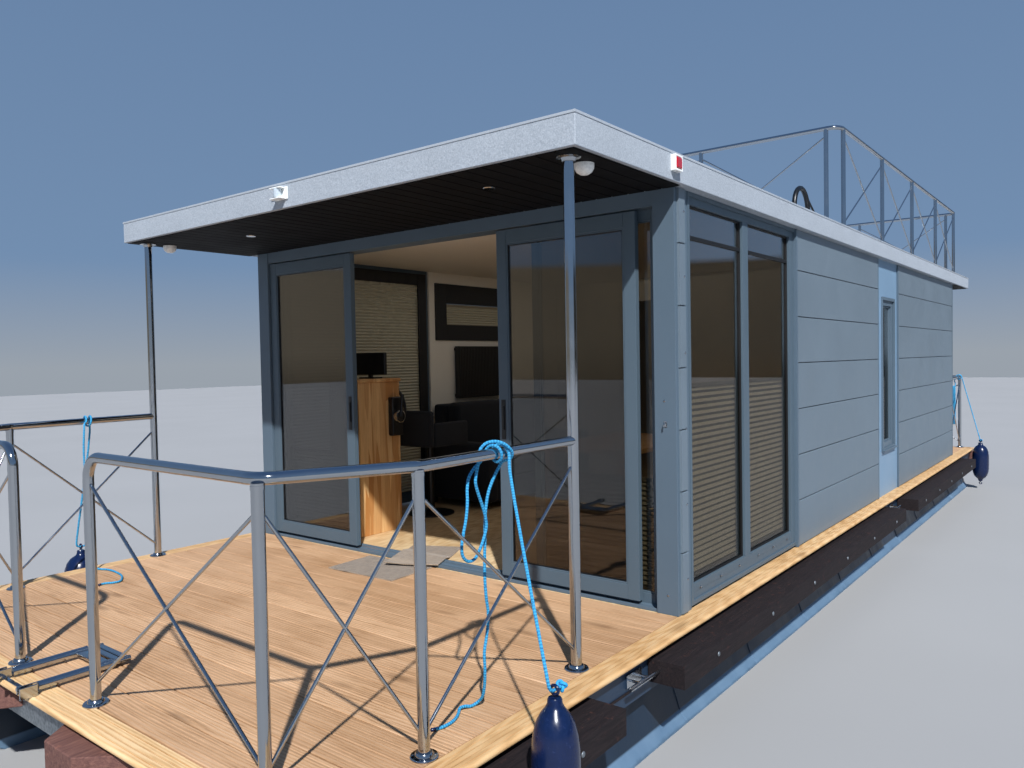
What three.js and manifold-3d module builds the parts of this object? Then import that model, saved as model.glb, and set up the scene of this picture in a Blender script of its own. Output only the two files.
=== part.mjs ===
// Houseboat on twin steel pontoons, standing on the pontoon bottoms.
// Millimetres. +X points to the bow, +Y to port and +Z up; the origin is midships at the pontoon bottoms.
import * as THREE from 'three';
import { mergeVertices } from 'three/addons/utils/BufferGeometryUtils.js';
import Module from 'manifold-3d';

const wasm = await Module();
wasm.setup();

// Gap between pieces that touch.
const GAP = 0.3;

// Decks and hull, lengths along X.
const CABIN_FRONT = 3645;
const CABIN_LENGTH = 8170;
const CABIN_AFT = CABIN_FRONT - CABIN_LENGTH;
const BOW_EDGE = CABIN_FRONT + 2520;
const STERN_EDGE = CABIN_AFT - 1130;
const FRAME_SETBACK = 110;
const BUMPER_REACH = 70;

// Half widths, along Y.
const DECK_HALF = 1990;
const FRAME_HALF = 1930;
const CABIN_HALF = 1870;
const ROOF_PORT = 1930;
const ROOF_STARBOARD = 2000;
const RAIL_HALF = 1812;

// Heights.
const DECK_TOP = 960;
const BOARD = 28;
const FRAME_DEPTH = 200;
const SOFFIT = DECK_TOP + 2300;
const ROOF_TOP = SOFFIT + 147;
const RAIL_TOP = DECK_TOP + 1055;
const ROOF_RAIL_TOP = ROOF_TOP + 870;

// Pontoons.
const PONTOON_TOP = DECK_TOP - BOARD - FRAME_DEPTH - 2 * GAP;
const PONTOON_INNER = 780;
const KNUCKLE_UPPER = 460;
const KNUCKLE_LOWER = 403;

// Cabin shell.
const WALL = 90;
const POST_FACE = 130;
const POST_DEPTH = 160;
const PARTITION = 60;

// Roof.
const ROOF_FRONT = CABIN_FRONT + 1030;
const ROOF_AFT = CABIN_AFT - 1020;

// Timber rub rails.
const TIMBER_HEIGHT = 115;
const TIMBER_TOP = DECK_TOP - 60;
const TIMBER_REACH = 200;

// Stainless tube.
const TUBE = 22;
const TUBE_SIDES = 8;
const BRACE = 7;
const FLANGE = 52;
const FLANGE_THICK = 8;

const paint = (color, roughness, metalness) =>
  new THREE.MeshStandardMaterial({ color, roughness, metalness });
const FINISH = {
  hull: paint(0x3a4652, 0.5, 0.3),
  galvanised: paint(0x8b949b, 0.45, 0.7),
  timber: paint(0x5d4440, 0.85, 0),
  stainless: paint(0xd8dade, 0.15, 1),
  deck: paint(0xc89b6a, 0.7, 0),
  siding: paint(0x6f7f8e, 0.6, 0),
  panel: paint(0x8496a8, 0.4, 0.4),
  frame: paint(0x46535f, 0.4, 0.3),
  roof: paint(0xaeb6bf, 0.8, 0),
  cream: paint(0xe6dfd0, 0.8, 0),
  oak: paint(0xc8a06a, 0.6, 0),
  black: paint(0x16181b, 0.4, 0),
  fabric: paint(0x2e3238, 0.95, 0),
  white: paint(0xf0f0ec, 0.4, 0),
  red: paint(0xb3202a, 0.25, 0),
  green: paint(0x1e8a4c, 0.25, 0),
  cowl: paint(0x22262b, 0.3, 0.1),
  navy: paint(0x16294a, 0.3, 0),
  rope: paint(0x2f9bd6, 0.8, 0),
  mat: paint(0x6e655f, 0.95, 0),
  blind: paint(0xcbbf9f, 0.9, 0),
};

const boat = new THREE.Group();

function add(name, geometry, finish) {
  const mesh = new THREE.Mesh(geometry, finish);
  mesh.name = name;
  boat.add(mesh);
}

// Solids: a three.js geometry becomes a solid, and a solid becomes geometry again.
function solidOf(geometry) {
  const bare = geometry.clone();
  bare.deleteAttribute('normal');
  bare.deleteAttribute('uv');
  const merged = mergeVertices(bare, 1e-3);
  const triVerts = new Uint32Array(merged.index.array);
  const vertProperties = merged.attributes.position.array;
  return new wasm.Manifold(new wasm.Mesh({ numProp: 3, vertProperties, triVerts }));
}

function geometryOf(solid) {
  const { vertProperties, triVerts } = solid.getMesh();
  const geometry = new THREE.BufferGeometry();
  geometry.setAttribute('position', new THREE.BufferAttribute(vertProperties, 3));
  geometry.setIndex(new THREE.BufferAttribute(triVerts, 1));
  geometry.computeVertexNormals();
  return geometry;
}

const join = (parts) => parts.reduce((whole, part) => whole.add(part));
const cut = (whole, parts) => parts.reduce((rest, part) => rest.subtract(part), whole);

// A block given by its limits along each axis, in either order.
function block(x, y, z) {
  const size = [x, y, z].map(([a, b]) => Math.abs(b - a));
  const centre = [x, y, z].map(([a, b]) => (a + b) / 2);
  return solidOf(new THREE.BoxGeometry(...size).translate(...centre));
}

// A round bar from one point to another; the second radius makes it a cone.
function bar(from, to, radius, sides = TUBE_SIDES, endRadius = radius) {
  const a = new THREE.Vector3(...from);
  const b = new THREE.Vector3(...to);
  const geometry = new THREE.CylinderGeometry(endRadius, radius, a.distanceTo(b), sides);
  const turn = new THREE.Quaternion();
  turn.setFromUnitVectors(new THREE.Vector3(0, 1, 0), b.clone().sub(a).normalize());
  geometry.applyQuaternion(turn);
  const middle = a.add(b).multiplyScalar(0.5);
  return solidOf(geometry.translate(middle.x, middle.y, middle.z));
}

function ball(centre, radius, sides = TUBE_SIDES) {
  return solidOf(new THREE.SphereGeometry(radius, sides, sides / 2).translate(...centre));
}

// A tube bent at each point of its route.
function pipe(route, radius, sides = TUBE_SIDES) {
  const runs = route.slice(1).map((point, i) => bar(route[i], point, radius, sides));
  const bends = route.slice(1, -1).map((point) => ball(point, radius, sides));
  return join([...runs, ...bends]);
}

// Points of a quarter bend, leaving the corner's first neighbour towards its second.
function bend(corner, from, to, radius, steps = 3) {
  const c = new THREE.Vector3(...corner);
  const u = new THREE.Vector3(...from).sub(c).normalize();
  const v = new THREE.Vector3(...to).sub(c).normalize();
  const points = [];
  for (let i = 0; i <= steps; i += 1) {
    const angle = (Math.PI / 2) * (i / steps);
    const along = u.clone().multiplyScalar(radius * (1 - Math.sin(angle)));
    const across = v.clone().multiplyScalar(radius * (1 - Math.cos(angle)));
    points.push(c.clone().add(along).add(across).toArray());
  }
  return points;
}

const outline = (points) => new THREE.Shape(points.map(([a, b]) => new THREE.Vector2(a, b)));

// A flat outline in X and Z, pushed through the Y limits.
function slabXZ(points, [y0, y1]) {
  const geometry = new THREE.ExtrudeGeometry(outline(points), { depth: y1 - y0, bevelEnabled: false });
  return solidOf(geometry.rotateX(Math.PI / 2).translate(0, y1, 0));
}

// A flat outline in Y and Z, pushed through the X limits.
function slabYZ(points, [x0, x1]) {
  const geometry = new THREE.ExtrudeGeometry(outline(points), { depth: x1 - x0, bevelEnabled: false });
  geometry.rotateX(Math.PI / 2).rotateZ(Math.PI / 2);
  return solidOf(geometry.translate(x0, 0, 0));
}

// A flat outline in X and Y, pushed through the Z limits.
function slabXY(points, [z0, z1]) {
  const geometry = new THREE.ExtrudeGeometry(outline(points), { depth: z1 - z0, bevelEnabled: false });
  return solidOf(geometry.translate(0, 0, z0));
}

const SIDES = [
  { side: 'port', hand: 1 },
  { side: 'starboard', hand: -1 },
];

// Y limits on the port side, or mirrored to starboard, always low to high.
const handed = (hand, a, b) => [hand * a, hand * b].sort((p, q) => p - q);
const mirrored = (points, hand) => points.map(([x, y]) => [x, hand * y]);

// Hull

function pontoon(hand) {
  const outer = FRAME_HALF;
  const section = [
    [PONTOON_INNER, 60],
    [PONTOON_INNER + 60, 0],
    [outer - 100, 0],
    [outer - 15, 90],
    [outer - 15, KNUCKLE_LOWER],
    [outer - 60, KNUCKLE_UPPER],
    [outer - 150, PONTOON_TOP],
    [PONTOON_INNER, PONTOON_TOP],
  ];
  const bow = BOW_EDGE - FRAME_SETBACK;
  const stern = STERN_EDGE + 30;
  const profile = [
    [bow - 900, -1],
    [bow - 620, 40],
    [bow - 60, 420],
    [bow, PONTOON_TOP + 1],
    [stern, PONTOON_TOP + 1],
    [stern + 20, 480],
    [stern + 90, 330],
    [stern + 420, -1],
  ];
  const body = slabYZ(section.map(([y, z]) => [hand * y, z]), [stern - 10, bow + 10]);
  return body.intersect(slabXZ(profile, [-DECK_HALF, DECK_HALF]));
}

function deckFrame() {
  const top = DECK_TOP - BOARD - GAP;
  const z = [top - FRAME_DEPTH, top];
  const web = 60;
  const fore = BOW_EDGE - FRAME_SETBACK;
  const aft = STERN_EDGE + 20;
  const beams = [
    block([fore - web, fore], [-FRAME_HALF, FRAME_HALF], z),
    block([aft, aft + web], [-FRAME_HALF, FRAME_HALF], z),
  ];
  for (const y of [PONTOON_INNER + 30, FRAME_HALF - web]) {
    beams.push(block([aft, fore], [y, y + web], z));
    beams.push(block([aft, fore], [-y - web, -y], z));
  }
  const bays = 9;
  const pitch = (fore - aft - web) / bays;
  for (let i = 1; i < bays; i += 1) {
    const x = aft + i * pitch;
    beams.push(block([x, x + web], [-FRAME_HALF, FRAME_HALF], [z[0] + 40, z[1]]));
  }
  for (const { hand } of SIDES) beams.push(...CLEAT_X.map((x) => cleat(x, hand)));
  return join(beams);
}

// Side timbers with the cleat gaps between them: limits along X.
const RUB_TIMBERS = [
  { name: 'fore', from: BOW_EDGE - FRAME_SETBACK - 60, to: CABIN_FRONT + 1015 },
  { name: 'middle', from: CABIN_FRONT + 470, to: CABIN_AFT + 3980 },
  { name: 'aft', from: CABIN_AFT + 3440, to: STERN_EDGE + 905 },
];
const CLEAT_X = [CABIN_FRONT + 611, CABIN_AFT + 3710];

// The timbers of one side, bolted to one flat bar that runs behind them and the cleats.
function rubRail(hand) {
  const y = handed(hand, FRAME_HALF + GAP + 4, FRAME_HALF + TIMBER_REACH);
  const base = TIMBER_TOP - TIMBER_HEIGHT;
  const timbers = RUB_TIMBERS.map(({ from, to }) => block([to, from], y, [base, TIMBER_TOP]));
  const back = handed(hand, FRAME_HALF + GAP, FRAME_HALF + GAP + 6);
  const length = [RUB_TIMBERS[2].to + 20, RUB_TIMBERS[0].from - 20];
  return join([block(length, back, [base + 4, base + 14]), ...timbers]);
}

// Bow block with both ends cut back at an angle, clear of the ladder amidships.
function bowBlock(hand) {
  const root = BOW_EDGE - FRAME_SETBACK + GAP;
  const face = BOW_EDGE + BUMPER_REACH;
  const plan = [
    [root, 280],
    [face, 420],
    [face, 660],
    [root, 860],
  ];
  return slabXY(mirrored(plan, hand), [TIMBER_TOP - TIMBER_HEIGHT, TIMBER_TOP]);
}

function sternTimber(hand) {
  const x = [STERN_EDGE + 20 - TIMBER_REACH, STERN_EDGE + 20 - GAP];
  return block(x, handed(hand, 420, DECK_HALF), [TIMBER_TOP - TIMBER_HEIGHT, TIMBER_TOP]);
}

function cleat(x, hand) {
  const y = hand * FRAME_HALF;
  const z = TIMBER_TOP - 50;
  const face = handed(hand, FRAME_HALF - 1, FRAME_HALF + 10);
  const plate = block([x - 70, x + 70], face, [z - 30, z + 30]);
  const legs = [-40, 40].map((dx) => bar([x + dx, y + hand * 5, z], [x + dx, y + hand * 60, z], 7));
  const horn = bar([x - 140, y + hand * 66, z], [x + 140, y + hand * 66, z], 9);
  return join([plate, ...legs, horn]);
}

// Decks

const DECK_Z = [DECK_TOP - BOARD, DECK_TOP];
const BORDER = 130;

function deck(from, to) {
  return block([from, to], [-DECK_HALF + BORDER + GAP, DECK_HALF - BORDER - GAP], DECK_Z);
}

// Section of a border board whose outer edge, at the given reach, is rounded.
function boardSection(reach) {
  const round = BOARD / 2;
  const section = [[reach - BORDER, DECK_TOP], [reach - BORDER, DECK_TOP - BOARD]];
  for (let i = 0; i <= 6; i += 1) {
    const angle = -Math.PI / 2 + (Math.PI * i) / 6;
    section.push([reach - round + round * Math.cos(angle), DECK_TOP - round + round * Math.sin(angle)]);
  }
  return section;
}

// Border boards along both sides, joined by the one across the bow.
function edgeBoards() {
  const length = [STERN_EDGE, BOW_EDGE - BORDER + 1];
  const section = boardSection(DECK_HALF);
  const sides = SIDES.map(({ hand }) => slabYZ(section.map(([y, z]) => [hand * y, z]), length));
  const bow = slabXZ(boardSection(BOW_EDGE), [-DECK_HALF, DECK_HALF]);
  return join([bow, ...sides]);
}

// Rails

const foot = (x, y, z) => bar([x, y, z + GAP], [x, y, z + FLANGE_THICK], FLANGE, 12);

// Two crossed rods in the bay between two posts.
function brace(a, b, low, high) {
  const bite = 10 / Math.hypot(b[0] - a[0], b[1] - a[1]);
  const mix = (t) => [a[0] + (b[0] - a[0]) * t, a[1] + (b[1] - a[1]) * t];
  const near = mix(bite);
  const far = mix(1 - bite);
  return [
    bar([...near, low], [...far, high], BRACE, 5),
    bar([...near, high], [...far, low], BRACE, 5),
  ];
}

const GATE_HALF = 390;
const GATE_X = BOW_EDGE - 145;
const ROOF_POST_X = CABIN_FRONT + 908;
const ROOF_POST_Y = { port: RAIL_HALF, starboard: -1890 };
const RAIL_POSTS = [
  [GATE_X, GATE_HALF],
  [GATE_X, 1580],
  [CABIN_FRONT + 1885, RAIL_HALF],
];

function bowRail(hand) {
  const posts = mirrored(RAIL_POSTS, hand);
  const top = RAIL_TOP - TUBE;
  const [gate, corner, side] = posts;
  const end = roofPostAt(hand);
  const start = bend([...gate, top], [...gate, 0], [...corner, top], 90);
  const base = DECK_TOP + GAP;
  const rail = pipe([[...gate, base], ...start, [...corner, top], [...side, top], [...end, top]], TUBE);
  const uprights = [corner, side].map((p) => bar([...p, base], [...p, top], TUBE));
  const feet = posts.map(([x, y]) => foot(x, y, DECK_TOP));
  const low = DECK_TOP + 90;
  const high = top - 110;
  const rods = [
    ...brace(gate, corner, low, high),
    ...brace(corner, side, low, high),
    ...brace(side, end, low, high),
  ];
  return join([rail, ...uprights, ...feet, ...rods, ...roofPost(hand)]);
}

function roofPostAt(hand) {
  return [ROOF_POST_X, hand > 0 ? ROOF_POST_Y.port : ROOF_POST_Y.starboard];
}

// The tall post that the rail ends on, up to the roof.
function roofPost(hand) {
  const at = roofPostAt(hand);
  return [
    bar([...at, DECK_TOP + GAP], [...at, SOFFIT - GAP], 25, 16),
    bar([...at, DECK_TOP + GAP], [...at, DECK_TOP + FLANGE_THICK], FLANGE + 4, 16),
    bar([...at, SOFFIT - FLANGE_THICK], [...at, SOFFIT - GAP], FLANGE + 4, 16),
  ];
}

const STERN_POST_X = STERN_EDGE + 70;
const STERN_RAIL_TOP = DECK_TOP + 1050;

function sternRail(hand) {
  const y = hand * RAIL_HALF;
  const top = STERN_RAIL_TOP - TUBE;
  const wall = CABIN_AFT - 140;
  const gate = hand * 620;
  const corner = [STERN_POST_X, y];
  const start = bend([wall, y, top], [wall, y, 0], [...corner, top], 80);
  const end = bend([STERN_POST_X, gate, top], [...corner, top], [STERN_POST_X, gate, 0], 80);
  const base = DECK_TOP + GAP;
  const route = [[wall, y, base], ...start, [...corner, top], ...end, [STERN_POST_X, gate, base]];
  const posts = [[wall, y], corner, [STERN_POST_X, gate]];
  const low = DECK_TOP + 90;
  const high = top - 110;
  return join([
    pipe(route, TUBE),
    bar([...corner, base], [...corner, top], TUBE),
    ...posts.map(([px, py]) => foot(px, py, DECK_TOP)),
    ...brace(posts[0], corner, low, high),
    ...brace(corner, posts[2], low, high),
  ]);
}

// Roof terrace rail: a closed ring with rounded corners.
const TERRACE = { fore: CABIN_FRONT - 3090, aft: CABIN_FRONT - 8550, half: 1855, corner: 100 };
const TERRACE_SIDE_X = [3194, 4518, 5850, 7180, 8446].map((aft) => CABIN_FRONT - aft);
const TERRACE_END_Y = [-1745, -620, 620, 1745];

function roofRail() {
  const top = ROOF_RAIL_TOP - TUBE;
  const { fore, aft, half, corner } = TERRACE;
  const corners = [
    [fore, half],
    [aft, half],
    [aft, -half],
    [fore, -half],
  ];
  const ring = [];
  corners.forEach((point, i) => {
    const before = corners[(i + 3) % 4];
    const after = corners[(i + 1) % 4];
    ring.push(...bend([...point, top], [...before, top], [...after, top], corner));
  });
  const tube = 19;
  const parts = [pipe([...ring, ring[0]], tube), ball(ring[0], tube)];
  const low = ROOF_TOP + 60;
  const high = top - 70;
  const stand = (points) => {
    for (const point of points) {
      parts.push(bar([...point, ROOF_TOP + GAP], [...point, top], tube));
      parts.push(bar([...point, ROOF_TOP + GAP], [...point, ROOF_TOP + FLANGE_THICK], 46));
    }
    points.slice(1).forEach((point, i) => parts.push(...brace(points[i], point, low, high)));
  };
  for (const y of [-half, half]) stand(TERRACE_SIDE_X.map((x) => [x, y]));
  for (const x of [fore, aft]) stand(TERRACE_END_Y.map((y) => [x, y]));
  return join(parts);
}

// Cabin shell

const WALL_BASE = DECK_TOP + GAP;
const WALL_TOP = SOFFIT - GAP;
const POST_AFT = CABIN_FRONT - POST_DEPTH;
const JAMB = 8;

// Large corner window, the same on both sides, and the narrow and high windows: X limits, Z limits.
const CORNER_WINDOW = { x: [CABIN_FRONT - 1910, POST_AFT - GAP], z: [DECK_TOP + 20, WALL_TOP + GAP] };
const NARROW_WINDOW = { x: [CABIN_FRONT - 4900, CABIN_FRONT - 4400], z: [DECK_TOP + 448, DECK_TOP + 1934] };
const HIGH_WINDOW = { x: [CABIN_FRONT - 3200, CABIN_FRONT - 2000], z: [DECK_TOP + 1620, DECK_TOP + 2180] };
const PANEL_X = [CABIN_FRONT - 5046, CABIN_FRONT - 4228];

const wallY = (hand) => handed(hand, CABIN_HALF - WALL, CABIN_HALF);
const hole = ({ x, z }, hand) => block(x, handed(hand, CABIN_HALF - WALL - 10, CABIN_HALF + 10), z);

// One length of side wall, with its window openings cut through.
function sideWall([from, to], hand, windows) {
  const wall = block([from, to], wallY(hand), [WALL_BASE, WALL_TOP]);
  return cut(wall, windows.map((window) => hole(window, hand)));
}

// Corner post of the glazed front, wrapping round to the side window.
function cornerPost(hand) {
  const y = handed(hand, CABIN_HALF - POST_FACE, CABIN_HALF);
  return block([POST_AFT, CABIN_FRONT], y, [WALL_BASE, WALL_TOP]);
}

const FRONT_HALF = CABIN_HALF - POST_FACE;
const HEADER_BASE = DECK_TOP + 2215;
const SILL_BASE = DECK_TOP + 14;
const SILL_TOP = DECK_TOP + 20;
const LEAF_X = [CABIN_FRONT - 60, CABIN_FRONT - 20];
const PANE_X = [CABIN_FRONT - 115, CABIN_FRONT - 75];
const FRONT_X = [POST_AFT + 10, CABIN_FRONT - 8];

// Corner posts, header and track sill of the glazed front, welded into one portal.
function frontFrame() {
  const across = [-FRONT_HALF - 5, FRONT_HALF + 5];
  const header = block(FRONT_X, across, [HEADER_BASE, WALL_TOP]);
  const sill = block(FRONT_X, across, [WALL_BASE, SILL_BASE]);
  const ribs = [
    [FRONT_X[0], FRONT_X[0] + 12],
    [LEAF_X[0] - 11, LEAF_X[0] - 7],
    [FRONT_X[1] - 6, FRONT_X[1]],
  ].map((x) => block(x, across, [SILL_BASE - 2, SILL_TOP]));
  return join([header, sill, ...ribs, ...SIDES.map(({ hand }) => cornerPost(hand))]);
}

// A frame round a pane: limits across, limits up, the widths of its stiles and rails.
function frameX(x, [y0, y1], [z0, z1], stile, rail) {
  const body = block(x, [y0, y1], [z0, z1]);
  return cut(body, [block([x[0] - 5, x[1] + 5], [y0 + stile, y1 - stile], [z0 + rail, z1 - rail])]);
}

function frameY([x0, x1], y, [z0, z1], stile, rail) {
  const body = block([x0, x1], y, [z0, z1]);
  return cut(body, [block([x0 + stile, x1 - stile], [y[0] - 5, y[1] + 5], [z0 + rail, z1 - rail])]);
}

// The glass in such a frame, let into its edges.
function paneX([x0, x1], [y0, y1], [z0, z1], stile, rail) {
  const middle = (x0 + x1) / 2;
  const edge = 4;
  const y = [y0 + stile - edge, y1 - stile + edge];
  return block([middle - 10, middle + 10], y, [z0 + rail - edge, z1 - rail + edge]);
}

const LEAF_WIDTH = 985;
const LEAF_Z = [SILL_TOP + 16, HEADER_BASE - 8];
const STILE = 75;
const LEAF_RAIL = 85;

// The sliding leaves stand open as limits along Y.
const LEAVES = [
  { side: 'port', y: [637, 637 + LEAF_WIDTH] },
  { side: 'starboard', y: [-1734, -1734 + LEAF_WIDTH] },
];

const inset = ([a, b], by) => [a + by + GAP, b - by - GAP];

function doorLeaf({ y }) {
  const frame = frameX(LEAF_X, y, LEAF_Z, STILE, LEAF_RAIL);
  const glass = paneX(LEAF_X, y, LEAF_Z, STILE, LEAF_RAIL);
  const edge = y[0] > 0 ? y[0] + 37 : y[1] - 37;
  const gripZ = [DECK_TOP + 960, DECK_TOP + 1110];
  const grip = block([LEAF_X[1] - 1, LEAF_X[1] + 12], [edge - 10, edge + 10], gripZ);
  return join([frame, glass, grip]);
}

function fixedPane(hand) {
  const y = handed(hand, FRONT_HALF - GAP - 870, FRONT_HALF - GAP);
  const z = [SILL_BASE + GAP, HEADER_BASE - GAP];
  return join([frameX(PANE_X, y, z, 50, 60), paneX(PANE_X, y, z, 50, 60)]);
}

// Corner window: an outer frame, a mullion, and a solid panel with its transom over each pane.
const MULLION = [CABIN_FRONT - 1043, CABIN_FRONT - 955];
const WINDOW_Y = [CABIN_HALF - 70, CABIN_HALF - 8];
const WINDOW_STILE = { fore: 45, aft: 100 };
const WINDOW_HEAD = 65;
const TRANSOM = 210;
const PANES = [
  { name: 'fore', x: [MULLION[1], CORNER_WINDOW.x[1] - GAP - WINDOW_STILE.fore] },
  { name: 'aft', x: [CORNER_WINDOW.x[0] + GAP + WINDOW_STILE.aft, MULLION[0]] },
];
const PANE_Z = [CORNER_WINDOW.z[0] + 110, CORNER_WINDOW.z[1] - WINDOW_HEAD - TRANSOM];

function cornerWindow(hand) {
  const x = inset(CORNER_WINDOW.x, 0);
  const z = inset(CORNER_WINDOW.z, 0);
  const body = block(x, handed(hand, ...WINDOW_Y), z);
  const reach = handed(hand, WINDOW_Y[0] - 5, WINDOW_Y[1] + 5);
  const recess = handed(hand, WINDOW_Y[1] - 12, WINDOW_Y[1] + 5);
  const lights = PANES.map((pane) => block(pane.x, reach, PANE_Z));
  const panels = PANES.map((pane) => block(pane.x, recess, [PANE_Z[1] + 50, z[1] - WINDOW_HEAD]));
  const glass = PANES.map((pane) => sideGlass(pane.x, PANE_Z, hand));
  return join([cut(body, [...lights, ...panels]), ...glass]);
}

// Glass in a side window, let 4 mm into its frame.
function sideGlass([x0, x1], [z0, z1], hand) {
  return block([x0 - 4, x1 + 4], handed(hand, CABIN_HALF - 50, CABIN_HALF - 26), [z0 - 4, z1 + 4]);
}

function smallWindow({ x, z }, hand, width) {
  const frame = frameY(inset(x, 0), handed(hand, ...WINDOW_Y), inset(z, 0), width, width);
  return frame.add(sideGlass([x[0] + width, x[1] - width], [z[0] + width, z[1] - width], hand));
}

const AFT_DOOR = { y: [-380, 380], z: [DECK_TOP + 40, DECK_TOP + 2060] };
const AFT_WALL_X = [CABIN_AFT, CABIN_AFT + WALL];

function aftWall() {
  const half = CABIN_HALF - WALL - GAP;
  const wall = block(AFT_WALL_X, [-half, half], [WALL_BASE, WALL_TOP]);
  return cut(wall, [block([AFT_WALL_X[0] - 10, AFT_WALL_X[1] + 10], AFT_DOOR.y, AFT_DOOR.z)]);
}

const DOORWAY = { y: [-900, -150], z: [DECK_TOP - BOARD, DECK_TOP + 2040] };
const PARTITION_X = [PANEL_X[1] + 20, PANEL_X[1] + 20 + PARTITION];

function partition() {
  const half = CABIN_HALF - WALL - GAP;
  const wall = block(PARTITION_X, [-half, half], [DECK_TOP + GAP, WALL_TOP]);
  return cut(wall, [block([PARTITION_X[0] - 5, PARTITION_X[1] + 5], DOORWAY.y, DOORWAY.z)]);
}

function aftDoor() {
  const x = [CABIN_AFT + 2, CABIN_AFT + 46];
  const y = [AFT_DOOR.y[0] + JAMB, AFT_DOOR.y[1] - JAMB];
  const z = [AFT_DOOR.z[0] + JAMB, AFT_DOOR.z[1] - JAMB];
  const leaf = block(x, y, z);
  const light = block([x[0] - 5, x[1] + 5], [y[0] + 110, y[1] - 110], [z[0] + 1000, z[1] - 120]);
  const glass = block([x[0] + 12, x[0] + 32], [y[0] + 106, y[1] - 106], [z[0] + 996, z[1] - 116]);
  const grip = block([x[0] - 40, x[0] + 1], [y[0] + 40, y[0] + 60], [z[0] + 930, z[0] + 960]);
  const lever = block([x[0] - 40, x[0] - 26], [y[0] + 40, y[0] + 160], [z[0] + 930, z[0] + 960]);
  return join([cut(leaf, [light]), glass, grip, lever]);
}

// Furniture

const CONSOLE = {
  x: [CABIN_FRONT - 775, CABIN_FRONT - 325],
  y: [-1410, -1050],
  z: [DECK_TOP + GAP, DECK_TOP + 1240],
};
const WHEEL = { x: CONSOLE.x[0] - 60, y: -1230, z: DECK_TOP + 1005, radius: 180 };

function helmWheel() {
  const ring = new THREE.TorusGeometry(WHEEL.radius, 14, 8, 28).rotateY(Math.PI / 2);
  const rim = solidOf(ring.translate(WHEEL.x, WHEEL.y, WHEEL.z));
  const hub = bar([WHEEL.x - 12, WHEEL.y, WHEEL.z], [CONSOLE.x[0] - 5, WHEEL.y, WHEEL.z], 34, 16);
  const spokes = [90, 210, 330].map((degrees) => {
    const angle = (degrees * Math.PI) / 180;
    const y = WHEEL.y + WHEEL.radius * Math.cos(angle);
    const z = WHEEL.z + WHEEL.radius * Math.sin(angle);
    return bar([WHEEL.x, WHEEL.y, WHEEL.z], [WHEEL.x, y, z], 9, 8);
  });
  const shaft = bar([CONSOLE.x[0] - 10, WHEEL.y, WHEEL.z], [CONSOLE.x[0] + 40, WHEEL.y, WHEEL.z], 9, 12);
  return join([rim, hub, shaft, ...spokes]);
}

function throttle() {
  const x = CONSOLE.x[0] + 75;
  const y = CONSOLE.y[1] - 1;
  const z = DECK_TOP + 950;
  return join([
    block([x - 60, x + 60], [y, y + 60], [z - 160, z + 160]),
    bar([x, y + 55, z], [x, y + 100, z], 48, 16),
    bar([x, y + 88, z], [x - 20, y + 100, z + 190], 11, 8),
  ]);
}

function monitor() {
  const x = CONSOLE.x[0] + 165;
  const y = (CONSOLE.y[0] + CONSOLE.y[1]) / 2 + 15;
  const base = CONSOLE.z[1] - 1;
  return join([
    block([x - 50, x + 50], [y - 90, y + 90], [base, base + 12]),
    block([x - 12, x + 12], [y - 20, y + 20], [base + 10, base + 65]),
    block([x - 17, x + 17], [y - 185, y + 185], [base + 55, base + 240]),
  ]);
}

// Plinth of oak staves with the throttle on its port face and the monitor on top.
function helmConsole() {
  const bore = bar([CONSOLE.x[0] - 5, WHEEL.y, WHEEL.z], [CONSOLE.x[0] + 45, WHEEL.y, WHEEL.z], 10.5, 12);
  const body = cut(block(CONSOLE.x, CONSOLE.y, CONSOLE.z), [bore]);
  return join([body, throttle(), monitor()]);
}

const SOFA = { x: [CABIN_FRONT - 3500, CABIN_FRONT - 1750], depth: 850, seat: 430, back: 985, arm: 160 };
const CHAIR_X = [CABIN_FRONT - 1627, CABIN_FRONT - 1127];
const CHAIR = { x: CHAIR_X, y: [-1540, -1040], tub: 635, seat: 720, arm: 850, back: 960 };
const CHAIR_FOOT = { stem: 32, disc: 210 };
const TABLE_X = [CABIN_FRONT - 2150, CABIN_FRONT - 950];
const TABLE = { x: TABLE_X, y: [250, 1050], top: 750, leg: 60 };

// Sofa along the starboard wall: a seat, a back and an arm at each end.
function sofa() {
  const wall = -(CABIN_HALF - WALL - 30);
  const base = DECK_TOP + GAP;
  const { x, depth, seat, back, arm } = SOFA;
  return join([
    block(x, [wall, wall + depth], [base, base + seat]),
    block(x, [wall, wall + arm + 70], [base + seat - 10, base + back]),
    block([x[0], x[0] + arm], [wall, wall + depth], [base, base + seat + 190]),
    block([x[1] - arm, x[1]], [wall, wall + depth], [base, base + seat + 190]),
  ]);
}

// The four corners of a rectangle, moved inwards.
function corners([x0, x1], [y0, y1], by) {
  const xs = [x0 + by, x1 - by];
  const ys = [y0 + by, y1 - by];
  return xs.flatMap((x) => ys.map((y) => [x, y]));
}

// Helm chair: a tub on a stem and a round foot.
function armchair() {
  const base = DECK_TOP + GAP;
  const { x, y, tub, seat, arm, back } = CHAIR;
  const middle = [(x[0] + x[1]) / 2, (y[0] + y[1]) / 2];
  return join([
    block(x, y, [base + tub, base + seat]),
    block(x, [y[0], y[0] + 50], [base + tub, base + arm]),
    block(x, [y[1] - 50, y[1]], [base + tub, base + arm]),
    block([x[1] - 60, x[1]], y, [base + tub, base + back]),
    bar([...middle, base], [...middle, base + tub + 10], CHAIR_FOOT.stem, 16),
    bar([...middle, base], [...middle, base + 22], CHAIR_FOOT.disc, 24),
  ]);
}

function table() {
  const base = DECK_TOP + GAP;
  const { x, y, top, leg } = TABLE;
  const half = leg / 2;
  const legs = corners(x, y, leg).map(([cx, cy]) =>
    block([cx - half, cx + half], [cy - half, cy + half], [base, base + top - 30]));
  return join([block(x, y, [base + top - 35, base + top]), ...legs]);
}

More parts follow.
